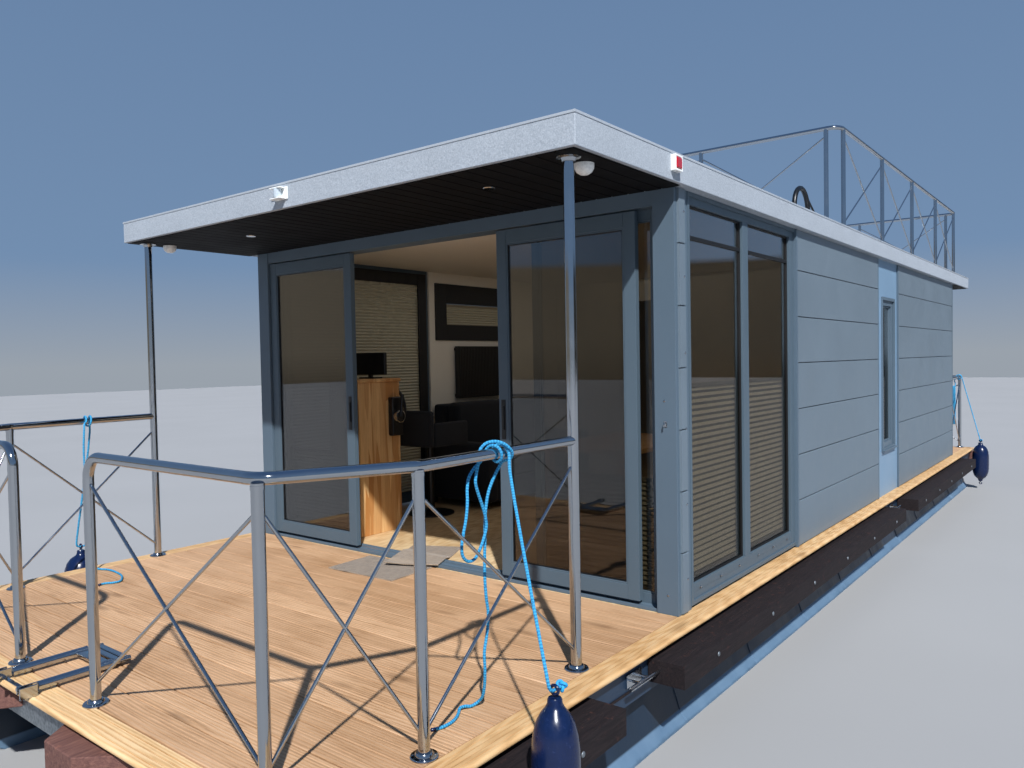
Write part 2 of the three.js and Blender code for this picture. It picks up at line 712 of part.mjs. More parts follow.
// Galley along the partition, port side.
function galley() {
  const base = DECK_TOP + GAP;
  const x = [PARTITION_X[1] + GAP, PARTITION_X[1] + 600];
  const wall = CABIN_HALF - WALL - GAP;
  return join([
    block(x, [100, wall], [base, base + 870]),
    block([x[0], x[1] + 20], [80, wall], [base + 860, base + 900]),
  ]);
}

// Boarding ladder: hinged over the bow edge, stowed flat on the deck.
const LADDER = {
  pivotX: BOW_EDGE + 24,
  pivotZ: DECK_TOP + 38,
  y: [-206, 66],
  railZ: DECK_TOP + 30,
  end: BOW_EDGE - 370,
  radius: 20,
  bore: 16,
  inner: 13,
};

// One step of the ladder by its limits along X, drawn in from the rails' centre lines.
function step(x, margin) {
  const { y, railZ } = LADDER;
  return block(x, [y[0] + margin, y[1] - margin], [railZ - 9, railZ + 9]);
}

// Lower half of the ladder: tubes that slide in the upper one's, with two steps at their ends.
function ladderLower() {
  const { y, railZ, end, inner } = LADDER;
  const tubes = y.map((rail) => bar([end + 268, rail, railZ], [end - 76, rail, railZ], inner, 12));
  const steps = [[end - 76, end - 44], [end - 38, end - 6]].map((x) => step(x, 0));
  return join([...tubes, ...steps]);
}

// Cheeks on the deck's edge, each with a short pin that a rail of the ladder turns on.
function ladderBracket() {
  const { pivotX, pivotZ, y } = LADDER;
  const base = DECK_TOP + GAP;
  const strip = [BOW_EDGE - 34, BOW_EDGE - 14];
  const cheeks = [block(strip, [y[0] - 30, y[1] + 30], [base, base + 4])];
  for (const [rail, hand] of [[y[0], -1], [y[1], 1]]) {
    const side = [rail + hand * 26, rail + hand * 34].sort((p, q) => p - q);
    cheeks.push(block([strip[0], pivotX + 12], side, [base, pivotZ + 12]));
    cheeks.push(bar([pivotX, rail - hand * 10, pivotZ], [pivotX, rail + hand * 34, pivotZ], 6, 12));
  }
  return join(cheeks);
}

function ladderUpper() {
  const { pivotX, pivotZ, y, railZ, end, radius, bore } = LADDER;
  const parts = [];
  for (const rail of y) {
    const shell = bar([BOW_EDGE - 45, rail, railZ], [end, rail, railZ], radius, 16);
    const inside = bar([BOW_EDGE - 90, rail, railZ], [end - 5, rail, railZ], bore, 16);
    const lug = block([BOW_EDGE - 60, pivotX + 12], [rail - 4, rail + 4], [railZ - 12, pivotZ + 12]);
    const eye = bar([pivotX, rail - 12, pivotZ], [pivotX, rail + 12, pivotZ], 6.6, 12);
    parts.push(cut(join([cut(shell, [inside]), lug]), [eye]));
  }
  parts.push(step([end + 8, end + 58], radius - 2));
  return join(parts);
}
// Outboard motor

const MOTOR = { tiltX: STERN_EDGE - 110, tiltZ: DECK_TOP + 80, steerX: STERN_EDGE - 230, propZ: 150 };

function motorBracket() {
  const { tiltX, tiltZ } = MOTOR;
  const face = STERN_EDGE + 20 - GAP;
  const cheeks = [];
  for (const y of [-96, 76]) {
    cheeks.push(block([face - 60, face - 20], [y, y + 20], [DECK_TOP - 180, tiltZ + 28]));
    cheeks.push(block([tiltX - 28, face - 20], [y, y + 20], [tiltZ - 60, tiltZ + 28]));
  }
  const plate = block([face - 40, face], [-200, 200], [DECK_TOP - 200, DECK_TOP - 40]);
  const pin = bar([tiltX, -96, tiltZ], [tiltX, 96, tiltZ], 10, 12);
  return join([plate, ...cheeks, pin]);
}

function motorSwivel() {
  const { tiltX, tiltZ, steerX } = MOTOR;
  const body = block([steerX, tiltX + 26], [-68, 68], [tiltZ - 60, tiltZ + 20]);
  const column = bar([steerX, 0, tiltZ - 420], [steerX, 0, tiltZ + 10], 42, 16);
  const bore = bar([tiltX, -80, tiltZ], [tiltX, 80, tiltZ], 11, 12);
  const shaft = bar([steerX, 0, tiltZ - 430], [steerX, 0, tiltZ + 40], 24, 16);
  return cut(join([body, column]), [bore, shaft]);
}

function motorLeg() {
  const { tiltZ, steerX, propZ } = MOTOR;
  const cowlBase = tiltZ + 50;
  const sideView = slabXZ([
    [steerX + 60, cowlBase],
    [steerX + 60, cowlBase + 240],
    [steerX + 10, cowlBase + 330],
    [steerX - 250, cowlBase + 380],
    [steerX - 330, cowlBase + 330],
    [steerX - 350, cowlBase + 60],
    [steerX - 300, cowlBase],
  ], [-150, 150]);
  const plan = [
    [steerX + 60, 80],
    [steerX - 20, 145],
    [steerX - 230, 145],
    [steerX - 350, 90],
  ];
  const round = [...plan, ...mirrored(plan, -1).reverse()];
  const cowl = sideView.intersect(slabXY(round, [cowlBase, cowlBase + 400]));
  const pivot = bar([steerX, 0, tiltZ - 440], [steerX, 0, cowlBase + 5], 18, 16);
  const leg = slabXZ([
    [steerX - 70, cowlBase + 5],
    [steerX - 230, cowlBase + 5],
    [steerX - 200, propZ + 20],
    [steerX - 60, propZ + 20],
    [steerX - 56, tiltZ - 430],
  ], [-32, 32]);
  const yoke = block([steerX - 120, steerX + 26], [-28, 28], [tiltZ - 470, tiltZ - 430]);
  const plate = slabXY([
    [steerX - 30, -70],
    [steerX - 30, 70],
    [steerX - 340, 90],
    [steerX - 340, -90],
  ], [propZ + 150, propZ + 162]);
  const gear = join([
    bar([steerX - 20, 0, propZ], [steerX - 225, 0, propZ], 46, 16),
    bar([steerX - 20, 0, propZ], [steerX + 60, 0, propZ], 46, 16, 12),
  ]);
  const skeg = slabXZ([
    [steerX - 60, propZ],
    [steerX - 190, propZ],
    [steerX - 200, propZ - 128],
    [steerX - 150, propZ - 128],
  ], [-6, 6]);
  return join([cowl, pivot, leg, yoke, plate, gear, skeg]);
}

function propeller() {
  const { steerX, propZ } = MOTOR;
  const x = steerX - 231;
  const hub = bar([x, 0, propZ], [x - 95, 0, propZ], 42, 16, 26);
  const blades = [0, 120, 240].map((degrees) => {
    const blade = new THREE.BoxGeometry(8, 78, 92).rotateZ(0.6).translate(0, 0, 74);
    return solidOf(blade.rotateX((degrees * Math.PI) / 180).translate(x - 45, 0, propZ));
  });
  return join([hub, ...blades]);
}

// Fenders and their ropes

const FENDER = { neck: 26, eye: 30 };
const ROPE = 6;
const ROPE_SIDES = 8;
const ROPE_STEPS = 80;
const ROPE_TURN = TUBE + ROPE + 6;
const FORE_FENDER = {
  at: [CABIN_FRONT + 1656, FRAME_HALF + TIMBER_REACH + 90, DECK_TOP + 262],
  radius: 86,
  length: 600,
};
const AFT_FENDER = {
  at: [STERN_EDGE + 255, DECK_HALF + 110, DECK_TOP + 126],
  radius: 104,
  length: 540,
};

// A fender hung by its upper eye, whose hole is at the given point.
function fender({ at: [x, y, z], radius, length }) {
  const { neck, eye } = FENDER;
  const top = z - eye;
  const bottom = top - length;
  const half = [
    [0, 0],
    [neck, 0],
    [neck + 6, 18],
    [radius * 0.72, 75],
    [radius * 0.94, 140],
    [radius, 200],
  ];
  const lower = half.map(([r, h]) => new THREE.Vector2(r, bottom + h));
  const upper = [...half].reverse().map(([r, h]) => new THREE.Vector2(r, top - h));
  const shell = new THREE.LatheGeometry([...lower, ...upper], 18).rotateX(Math.PI / 2);
  const eyes = [z, bottom - eye];
  const lugs = eyes.map((hole) => block([x - 7, x + 7], [y - 22, y + 22], [hole - 34, hole + 34]));
  const holes = eyes.map((hole) => bar([x - 20, y, hole], [x + 20, y, hole], ROPE + 4, 12));
  const ends = [[z + 22, z + 40], [bottom - eye - 40, bottom - eye - 22]];
  const trim = ends.map((limits) => block([x - 8, x + 8], [y - 23, y + 23], limits));
  return cut(join([solidOf(shell.translate(x, y, 0)), ...lugs]), [...holes, ...trim]);
}

// A rope's path, stepped by the route's points and not by its length, so that bends get most of the steps.
class RopePath extends THREE.CatmullRomCurve3 {
  getPointAt(share, target) {
    return this.getPoint(share, target);
  }

  getTangentAt(share, target) {
    return this.getTangent(share, target);
  }
}

function rope(route) {
  const path = new RopePath(route.map((point) => new THREE.Vector3(...point)), false, 'centripetal');
  const section = new THREE.Shape().absellipse(0, 0, ROPE, ROPE, 0, 2 * Math.PI);
  const settings = {
    steps: ROPE_STEPS,
    curveSegments: ROPE_SIDES / 2,
    bevelEnabled: false,
    extrudePath: path,
  };
  return solidOf(new THREE.ExtrudeGeometry(section, settings));
}

// Route points round a tube that runs along X, from rows of angle in degrees, distance along X and radius.
function around([x, y, z], rows) {
  return rows.map(([degrees, along, radius]) => {
    const angle = (degrees * Math.PI) / 180;
    return [x + along, y + radius * Math.cos(angle), z + radius * Math.sin(angle)];
  });
}

// A turn and a half round the rail, from outside it to inside.
function turns(rail, pitch) {
  const rows = [];
  for (let degrees = 0; degrees <= 540; degrees += 45) {
    rows.push([degrees, (pitch * degrees) / 360, ROPE_TURN]);
  }
  return around(rail, rows);
}

// Route points given from an origin.
const from = ([x, y, z], rows) => rows.map(([dx, dy, dz]) => [x + dx, y + dy, z + dz]);

// Through the fender's eye and up, from its stopper knot.
const EYE_ROUTE = [
  [-36, 0, 0],
  [-14, 0, 0],
  [6, 0, 0],
  [18, -1, 3],
  [27, -2, 12],
  [30, -4, 25],
  [30, -12, 60],
];

// From the rail, X and Z as seen: the slipped bight down and back up.
const BIGHT_ROUTE = [
  [80, -42, -28],
  [112, -54, -58],
  [140, -56, -92],
  [153, -52, -130],
  [163, -44, -180],
  [177, -40, -240],
  [195, -39, -294],
  [206, -39, -340],
  [200, -39, -381],
  [170, -39, -406],
  [132, -39, -404],
  [102, -38, -373],
  [76, -37, -330],
  [62, -36, -292],
  [66, -36, -252],
  [86, -36, -199],
  [110, -36, -146],
  [122, -36, -106],
  [114, -36, -66],
  [103, -35, -28],
];

// Hitch that holds the bight: angle, distance along the rail, radius.
const HITCH_ROUTE = [
  [180, 100, 34],
  [150, 88, 41],
  [120, 70, 47],
  [90, 48, 48],
  [60, 28, 48],
  [30, 8, 47],
  [0, -13, 42],
  [-30, -20, 37],
  [-60, -24, 34],
  [-90, -26, 34],
];

// From the rail: the tail, hanging beside the bight.
const TAIL_ROUTE = [
  [-26, -20, -41],
  [-23, -34, -62],
  [-8, -48, -100],
  [21, -56, -160],
  [40, -58, -240],
  [47, -57, -340],
  [53, -56, -422],
  [56, -54, -506],
  [52, -52, -580],
  [42, -52, -640],
  [46, -52, -693],
  [58, -52, -745],
  [70, -52, -790],
  [69, -52, -862],
  [62, -60, -915],
];

// From the rail, and Z from the deck: the tail's end lying on the boards.
const DECK_ROUTE = [
  [50, -82, 52],
  [46, -102, 26],
  [56, -118, 11],
  [78, -124, 8],
  [102, -133, 14],
  [126, -138, 14],
  [150, -124, 8],
  [185, -104, 8],
  [230, -90, 8],
  [285, -93, 8],
  [318, -108, 8],
];

function foreRope() {
  const rail = [CABIN_FRONT + 1415, RAIL_HALF, RAIL_TOP - TUBE];
  return [
    ...from(FORE_FENDER.at, EYE_ROUTE),
    [rail[0] + 28, rail[1] + 60, rail[2] - 66],
    ...turns(rail, 44),
    ...from(rail, BIGHT_ROUTE),
    ...around(rail, HITCH_ROUTE),
    ...from(rail, TAIL_ROUTE),
    ...from([rail[0], rail[1], DECK_TOP], DECK_ROUTE),
  ];
}

const AFT_RAIL = [STERN_POST_X + 44, RAIL_HALF, STERN_RAIL_TOP - TUBE];
const HANK = { below: 96, half: 38, length: 600, y: [RAIL_HALF - 78, RAIL_HALF - 36] };

// Rope of the aft fender, up to the stern rail and round it, as far as its hank.
function aftRope() {
  const [x, y, z] = AFT_RAIL;
  return [
    ...from(AFT_FENDER.at, EYE_ROUTE),
    [x - 12, y + 52, z - 80],
    ...turns(AFT_RAIL, 32),
    [x + 48, y - ROPE_TURN - 6, z - 24],
    [x + 48, y - 55, z - 58],
    [x + 48, y - 57, z - 78],
    [x + 48, y - 57, z - HANK.below + GAP],
  ];
}

// Outer shape of the hank that hangs inside the stern rail.
function aftHank() {
  const [x, , z] = AFT_RAIL;
  const radius = HANK.half + ROPE + 1;
  const centre = x + 48;
  const top = z - HANK.below - radius;
  const bottom = z - HANK.below - HANK.length + radius;
  const points = [];
  for (let degrees = 0; degrees <= 180; degrees += 30) {
    const angle = (degrees * Math.PI) / 180;
    points.push([centre + radius * Math.cos(angle), top + radius * Math.sin(angle)]);
  }
  for (let degrees = 180; degrees <= 360; degrees += 30) {
    const angle = (degrees * Math.PI) / 180;
    points.push([centre + radius * Math.cos(angle), bottom + radius * Math.sin(angle)]);
  }
  return slabXZ(points, HANK.y);
}

// Door mats and blinds

const MAT = { length: 600, width: 385, thick: 6 };
const MATS = [
  { name: 'mat_deck', x: CABIN_FRONT + 223, y: -235, turn: 92 },
  { name: 'mat_sill', x: CABIN_FRONT - 175, y: -200, turn: 26 },
];

// Underside of the mat that lies over the sill, from inside to outside: X, height over the deck.
const SILL_MAT_LINE = [
  [CABIN_FRONT - 560, 1],
  [CABIN_FRONT - 260, 1],
  [CABIN_FRONT - 162, 22],
  [CABIN_FRONT + 20, 22],
  [CABIN_FRONT + 110, 18],
  [CABIN_FRONT + 170, 26],
  [CABIN_FRONT + 230, 44],
];

function matOutline({ x, y, turn }) {
  const angle = (turn * Math.PI) / 180;
  const along = [Math.cos(angle), Math.sin(angle)];
  return [[-1, -1], [1, -1], [1, 1], [-1, 1]].map(([a, b]) => {
    const u = (a * MAT.length) / 2;
    const v = (b * MAT.width) / 2;
    return [x + u * along[0] - v * along[1], y + u * along[1] + v * along[0]];
  });
}

const flatMat = (at) => slabXY(matOutline(at), [DECK_TOP + 1, DECK_TOP + 1 + MAT.thick]);

function sillMat(at) {
  const lower = SILL_MAT_LINE.map(([x, h]) => [x, DECK_TOP + h]);
  const upper = lower.map(([x, z]) => [x, z + MAT.thick]).reverse();
  const plan = slabXY(matOutline(at), [DECK_TOP, DECK_TOP + 100]);
  return slabXZ([...lower, ...upper], [at.y - 500, at.y + 500]).intersect(plan);
}

// Heights of the tops of the pleated blinds: half drawn to port, nearly closed to starboard.
const BLIND_TOP = { port: DECK_TOP + 1250, starboard: DECK_TOP + 2180 };

// Pleated blind behind a corner window.
function cornerBlind(hand) {
  const top = hand > 0 ? BLIND_TOP.port : BLIND_TOP.starboard;
  const y = handed(hand, CABIN_HALF - WALL + 2, WINDOW_Y[0] - 3);
  return block([CORNER_WINDOW.x[0] + 60, CORNER_WINDOW.x[1] - 45], y, [PANE_Z[0], top]);
}

const roof = () => block([ROOF_AFT, ROOF_FRONT], [-ROOF_STARBOARD, ROOF_PORT], [SOFFIT, ROOF_TOP]);

// Lamps

// Coloured lens in a shallow housing on the roof's side face.
function sideLamp(hand) {
  const x = CABIN_FRONT + 115;
  const z = SOFFIT + 87;
  const back = (hand > 0 ? ROOF_PORT : ROOF_STARBOARD) + GAP;
  return join([
    block([x - 40, x + 40], handed(hand, back, back + 28), [z - 41, z + 41]),
    block([x - 32, x + 28], handed(hand, back + 20, back + 35), [z - 30, z + 33]),
  ]);
}

// Clear lens between two slabs on a back plate.
function bowLamp() {
  const x = ROOF_FRONT + GAP;
  const z = SOFFIT + 84;
  const y = [-163, -43];
  return join([
    block([x, x + 8], y, [z - 36, z + 36]),
    bar([x + 26, -106, z - 28], [x + 26, -106, z + 28], 24, 16),
    block([x, x + 46], [-160, -62], [z - 34, z - 26]),
    block([x, x + 46], [-160, -62], [z + 26, z + 34]),
  ]);
}

// Assembly

const place = (name, solid, finish) => add(name, geometryOf(solid), finish);

for (const { side, hand } of SIDES) {
  place(`pontoon_${side}`, pontoon(hand), FINISH.hull);
  place(`rub_rail_${side}`, rubRail(hand), FINISH.timber);
  place(`bow_block_${side}`, bowBlock(hand), FINISH.timber);
  place(`stern_timber_${side}`, sternTimber(hand), FINISH.timber);
  place(`bow_rail_${side}`, bowRail(hand), FINISH.stainless);
  place(`stern_rail_${side}`, sternRail(hand), FINISH.stainless);
  place(`corner_window_${side}`, cornerWindow(hand), FINISH.frame);
  place(`fixed_pane_${side}`, fixedPane(hand), FINISH.frame);
  place(`side_lamp_${side}`, sideLamp(hand), hand > 0 ? FINISH.red : FINISH.green);
  place(`corner_blind_${side}`, cornerBlind(hand), FINISH.blind);
}

place('deck_frame', deckFrame(), FINISH.galvanised);
place('fore_deck', deck(CABIN_FRONT + GAP, BOW_EDGE - BORDER - GAP), FINISH.deck);
place('aft_deck', deck(STERN_EDGE, CABIN_AFT - GAP), FINISH.deck);
place('cabin_floor', deck(CABIN_AFT, CABIN_FRONT), FINISH.oak);
place('edge_boards', edgeBoards(), FINISH.deck);
place('roof', roof(), FINISH.roof);
place('roof_rail', roofRail(), FINISH.stainless);
place('bow_lamp', bowLamp(), FINISH.white);

place('front_frame', frontFrame(), FINISH.frame);
place('port_wall_fore', sideWall([PANEL_X[1] + GAP, CORNER_WINDOW.x[0] - GAP], 1, []), FINISH.siding);
place('port_panel', sideWall(PANEL_X, 1, [NARROW_WINDOW]), FINISH.panel);
place('port_wall_aft', sideWall([CABIN_AFT, PANEL_X[0] - GAP], 1, []), FINISH.siding);
place('starboard_wall', sideWall([CABIN_AFT, CORNER_WINDOW.x[0] - GAP], -1, [HIGH_WINDOW]), FINISH.siding);
place('aft_wall', aftWall(), FINISH.siding);
place('partition', partition(), FINISH.cream);
place('narrow_window', smallWindow(NARROW_WINDOW, 1, 70), FINISH.frame);
place('high_window', smallWindow(HIGH_WINDOW, -1, 80), FINISH.frame);
for (const leaf of LEAVES) place(`door_leaf_${leaf.side}`, doorLeaf(leaf), FINISH.frame);
place('aft_door', aftDoor(), FINISH.panel);

place('helm_console', helmConsole(), FINISH.oak);
place('helm_wheel', helmWheel(), FINISH.black);
place('sofa', sofa(), FINISH.fabric);
place('armchair', armchair(), FINISH.fabric);
place('table', table(), FINISH.oak);
place('galley', galley(), FINISH.cream);

place(MATS[0].name, flatMat(MATS[0]), FINISH.mat);
place(MATS[1].name, sillMat(MATS[1]), FINISH.mat);
place('fore_fender', fender(FORE_FENDER), FINISH.navy);
place('aft_fender', fender(AFT_FENDER), FINISH.navy);
place('fore_rope', rope(foreRope()), FINISH.rope);
place('aft_rope', rope(aftRope()), FINISH.rope);
place('aft_hank', aftHank(), FINISH.rope);

place('ladder_bracket', ladderBracket(), FINISH.stainless);
place('ladder_upper', ladderUpper(), FINISH.stainless);
place('ladder_lower', ladderLower(), FINISH.stainless);
place('motor_bracket', motorBracket(), FINISH.galvanised);
place('motor_swivel', motorSwivel(), FINISH.cowl);
place('motor_leg', motorLeg(), FINISH.cowl);
place('propeller', propeller(), FINISH.stainless);

export default boat;
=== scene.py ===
import math

import bmesh
import bpy
from mathutils import Matrix, Vector


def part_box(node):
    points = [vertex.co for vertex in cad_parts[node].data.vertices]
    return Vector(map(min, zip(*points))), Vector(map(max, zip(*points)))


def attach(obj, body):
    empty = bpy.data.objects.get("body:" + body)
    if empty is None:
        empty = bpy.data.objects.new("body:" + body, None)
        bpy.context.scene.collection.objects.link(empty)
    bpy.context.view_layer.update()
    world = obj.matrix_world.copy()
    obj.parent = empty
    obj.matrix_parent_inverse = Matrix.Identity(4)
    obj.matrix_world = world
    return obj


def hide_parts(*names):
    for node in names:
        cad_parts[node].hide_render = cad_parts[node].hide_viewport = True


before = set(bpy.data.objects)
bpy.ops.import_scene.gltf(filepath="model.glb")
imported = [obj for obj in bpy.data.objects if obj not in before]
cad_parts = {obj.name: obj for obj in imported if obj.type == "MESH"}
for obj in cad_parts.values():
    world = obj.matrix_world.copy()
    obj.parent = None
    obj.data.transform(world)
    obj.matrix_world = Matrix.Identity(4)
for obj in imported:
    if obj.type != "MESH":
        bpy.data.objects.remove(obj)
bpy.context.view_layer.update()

# Sizes read from the frame, in metres.
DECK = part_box("fore_deck")[1].z
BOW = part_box("edge_boards")[1].x
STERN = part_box("edge_boards")[0].x
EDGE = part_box("edge_boards")[1].y
BOARD_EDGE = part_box("fore_deck")[1].y
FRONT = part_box("front_frame")[1].x
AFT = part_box("aft_wall")[0].x
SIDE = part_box("front_frame")[1].y
WALL_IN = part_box("aft_wall")[1].y
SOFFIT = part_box("roof")[0].z
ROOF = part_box("roof")[1].z
ROOF_SIDES = (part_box("roof")[0].y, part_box("roof")[1].y)
ROOF_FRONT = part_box("roof")[1].x
ROOF_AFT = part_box("roof")[0].x

# Sizes that several pieces share.
FRAME_HALF = 1.930
RAIL_HALF = 1.812
TUBE = 0.022
WATERLINE = 0.403
CHINE = 0.460
SOFFIT_BOARD = 0.0045
# What stands on a deck or a floor keeps this gap under it.
FOOT = 0.0003

# Directions: forwards, to port and up.
ALONG = Vector((1, 0, 0))
ACROSS = Vector((0, 1, 0))
UP = Vector((0, 0, 1))
HANDS = (("port", 1), ("starboard", -1))


# Limits: a lower and an upper value along one axis

def span(middle, half):
    """Limits on both sides of a middle."""
    return (middle - half, middle + half)


def inset(limits, start, end=None):
    """Limits drawn in at both ends; a negative amount moves an end out."""
    return (limits[0] + start, limits[1] - (start if end is None else end))


def limits_of(node):
    """A solid's limits along X, Y and Z."""
    return tuple(zip(*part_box(node)))


def off_side(hand, near, far):
    """Limits across the boat, from two distances outside a side wall's face."""
    return (hand * (SIDE + near), hand * (SIDE + far))


# Camera

CAMERA_AT = Vector((7.4908, 3.7759, 2.360))
CAMERA_TURN = {"yaw": 218.109, "pitch": -1.767, "roll": -1.061}
LENS = 27.756
SENSOR = 36.0


def camera():
    yaw, pitch, roll = (math.radians(CAMERA_TURN[key]) for key in ("yaw", "pitch", "roll"))
    ahead = Vector((math.cos(pitch) * math.cos(yaw), math.cos(pitch) * math.sin(yaw), math.sin(pitch)))
    right = ahead.cross(UP).normalized()
    above = right.cross(ahead)
    across = right * math.cos(roll) + above * math.sin(roll)
    upward = above * math.cos(roll) - right * math.sin(roll)
    data = bpy.data.cameras.new("camera")
    data.lens = LENS
    data.sensor_width = SENSOR
    data.clip_end = 200
    made = bpy.data.objects.new("camera", data)
    turned = Matrix((across, upward, -ahead)).transposed().to_4x4()
    made.matrix_world = Matrix.Translation(CAMERA_AT) @ turned
    bpy.context.scene.collection.objects.link(made)
    bpy.context.scene.camera = made


# Node trees

class Wire:
    """One output of a node. Sums and products of wires add their nodes."""

    def __init__(self, net, socket):
        self.net = net
        self.socket = socket

    def other(self, output):
        """Another output of the same node."""
        return Wire(self.net, self.socket.node.outputs[output])

    def __add__(self, other):
        return self.net.maths("ADD", self, other)

    def __radd__(self, other):
        return self.net.maths("ADD", other, self)

    def __sub__(self, other):
        return self.net.maths("SUBTRACT", self, other)

    def __rsub__(self, other):
        return self.net.maths("SUBTRACT", other, self)

    def __mul__(self, other):
        return self.net.maths("MULTIPLY", self, other)

    def __rmul__(self, other):
        return self.net.maths("MULTIPLY", other, self)

    def __pow__(self, other):
        return self.net.maths("POWER", self, other)

    def __gt__(self, other):
        return self.net.maths("GREATER_THAN", self, other)

    def __lt__(self, other):
        return self.net.maths("LESS_THAN", self, other)


class Net:
    """A node tree in the making."""

    def __init__(self, tree):
        self.tree = tree
        tree.nodes.clear()

    def node(self, kind, settings=None, inputs=None, output=0):
        made = self.tree.nodes.new(kind)
        for key, value in (settings or {}).items():
            if key == "stops":
                set_stops(made.color_ramp, value)
            else:
                setattr(made, key, value)
        for key, value in (inputs or {}).items():
            if isinstance(value, Wire):
                self.tree.links.new(value.socket, made.inputs[key])
            else:
                made.inputs[key].default_value = value
        return Wire(self, made.outputs[output]) if made.outputs else None

    def maths(self, operation, first, second=0.0):
        return self.node("ShaderNodeMath", {"operation": operation}, {0: first, 1: second})

    def part(self, at, axis):
        """One coordinate of a vector: 0, 1 or 2."""
        return self.node("ShaderNodeSeparateXYZ", {}, {0: at}, output=axis)

    def ramp(self, value, stops):
        return self.node("ShaderNodeValToRGB", {"stops": stops}, {0: value})

    def level(self, value, low, high, out_low=0.0, out_high=1.0):
        values = {0: value, 1: low, 2: high, 3: out_low, 4: out_high}
        return self.node("ShaderNodeMapRange", {}, values)

    def mix(self, share, first, second):
        return self.node("ShaderNodeMix", {"data_type": "RGBA"}, {0: share, 6: first, 7: second}, output=2)


def set_stops(ramp, stops):
    while len(ramp.elements) < len(stops):
        ramp.elements.new(0.5)
    for element, (position, colour) in zip(ramp.elements, stops):
        element.position = position
        element.color = colour


def rgb(code, times=1.0):
    """A colour from its six hex digits, as linear light."""
    parts = [int(code[i:i + 2], 16) / 255 for i in (0, 2, 4)]
    linear = [part / 12.92 if part <= 0.04045 else ((part + 0.055) / 1.055) ** 2.4 for part in parts]
    return (*[part * times for part in linear], 1.0)


def grey(value):
    return (value, value, value, 1.0)


class Paint(Net):
    """A surface finish."""

    INPUTS = {
        "normal": "Normal",
        "metal": "Metallic",
        "coat": "Coat Weight",
        "sheen": "Sheen Weight",
        "shine": "Specular IOR Level",
    }

    def __init__(self, name):
        self.material = bpy.data.materials.new(name)
        self.material.use_nodes = True
        super().__init__(self.material.node_tree)

    def where(self, scale=(1, 1, 1)):
        at = self.node("ShaderNodeTexCoord", output="Object")
        return self.node("ShaderNodeMapping", {}, {"Vector": at, "Scale": scale})

    def attribute(self, name):
        return self.node("ShaderNodeAttribute", {"attribute_name": name}, output="Fac")

    def noise(self, at, scale, detail=3.0, rough=0.5, warp=0.0):
        values = {"Vector": at, "Scale": scale, "Detail": detail, "Roughness": rough, "Distortion": warp}
        return self.node("ShaderNodeTexNoise", {}, values)

    def cells(self, at, scale):
        return self.node("ShaderNodeTexVoronoi", {}, {"Vector": at, "Scale": scale})

    def waves(self, at, scale, warp=0.0, direction="X"):
        values = {"Vector": at, "Scale": scale, "Distortion": warp}
        return self.node("ShaderNodeTexWave", {"bands_direction": direction}, values)

    def shift(self, at, amount):
        return self.node("ShaderNodeVectorMath", {"operation": "ADD"}, {0: at, 1: amount})

    def bump(self, height, distance, strength=1.0):
        values = {"Height": height, "Distance": distance, "Strength": strength}
        return self.node("ShaderNodeBump", {}, values)

    def done(self, shader):
        self.node("ShaderNodeOutputMaterial", {}, {"Surface": shader})
        return self.material

    def surface(self, tone, rough, **more):
        """Ends the finish in one shader."""
        values = {"Base Color": tone, "Roughness": rough}
        values.update((self.INPUTS[key], value) for key, value in more.items())
        return self.done(self.node("ShaderNodeBsdfPrincipled", {}, values))


# Finishes

def painted(name, code, rough=0.45, speck=0.03, grain=260.0, depth=0.0002, metal=0.0, shine=0.5):
    """Sprayed metal or plastic: faint clouding and orange peel."""
    paint = Paint(name)
    at = paint.where()
    cloud = paint.noise(at, 2.3, 5.0, 0.6)
    peel = paint.noise(at, grain, 2.0)
    tone = paint.mix(cloud, rgb(code, 1 - 3 * speck), rgb(code, 1 + 3 * speck))
    gloss = paint.level(cloud, 0.3, 0.7, rough - 0.06, rough + 0.08)
    return paint.surface(tone, gloss, normal=paint.bump(peel, depth), metal=metal, shine=shine)


def granular(name, code):
    """Quartz-coated roof edge: a hard grain with pale and dark specks."""
    paint = Paint(name)
    at = paint.where()
    cloud = paint.noise(at, 3.0, 4.0, 0.6)
    grit = paint.noise(at, 140.0, 4.0, 0.7)
    coarse = paint.noise(at, 38.0, 3.0, 0.6)
    base = paint.mix(cloud, rgb(code, 0.88), rgb(code, 1.1))
    specks = paint.level(grit, 0.35, 0.65)
    tone = paint.mix(specks, paint.mix(0.22, base, grey(0.12)), paint.mix(0.16, base, grey(0.9)))
    return paint.surface(tone, 0.85, normal=paint.bump(grit * 0.6 + coarse, 0.0025, 0.8))


GRAIN = {"x": (0.9, 11, 11), "y": (11, 0.9, 11), "z": (11, 11, 0.9)}
KNOTS = {"x": (1.3, 5, 5), "y": (5, 1.3, 5), "z": (5, 5, 1.3)}


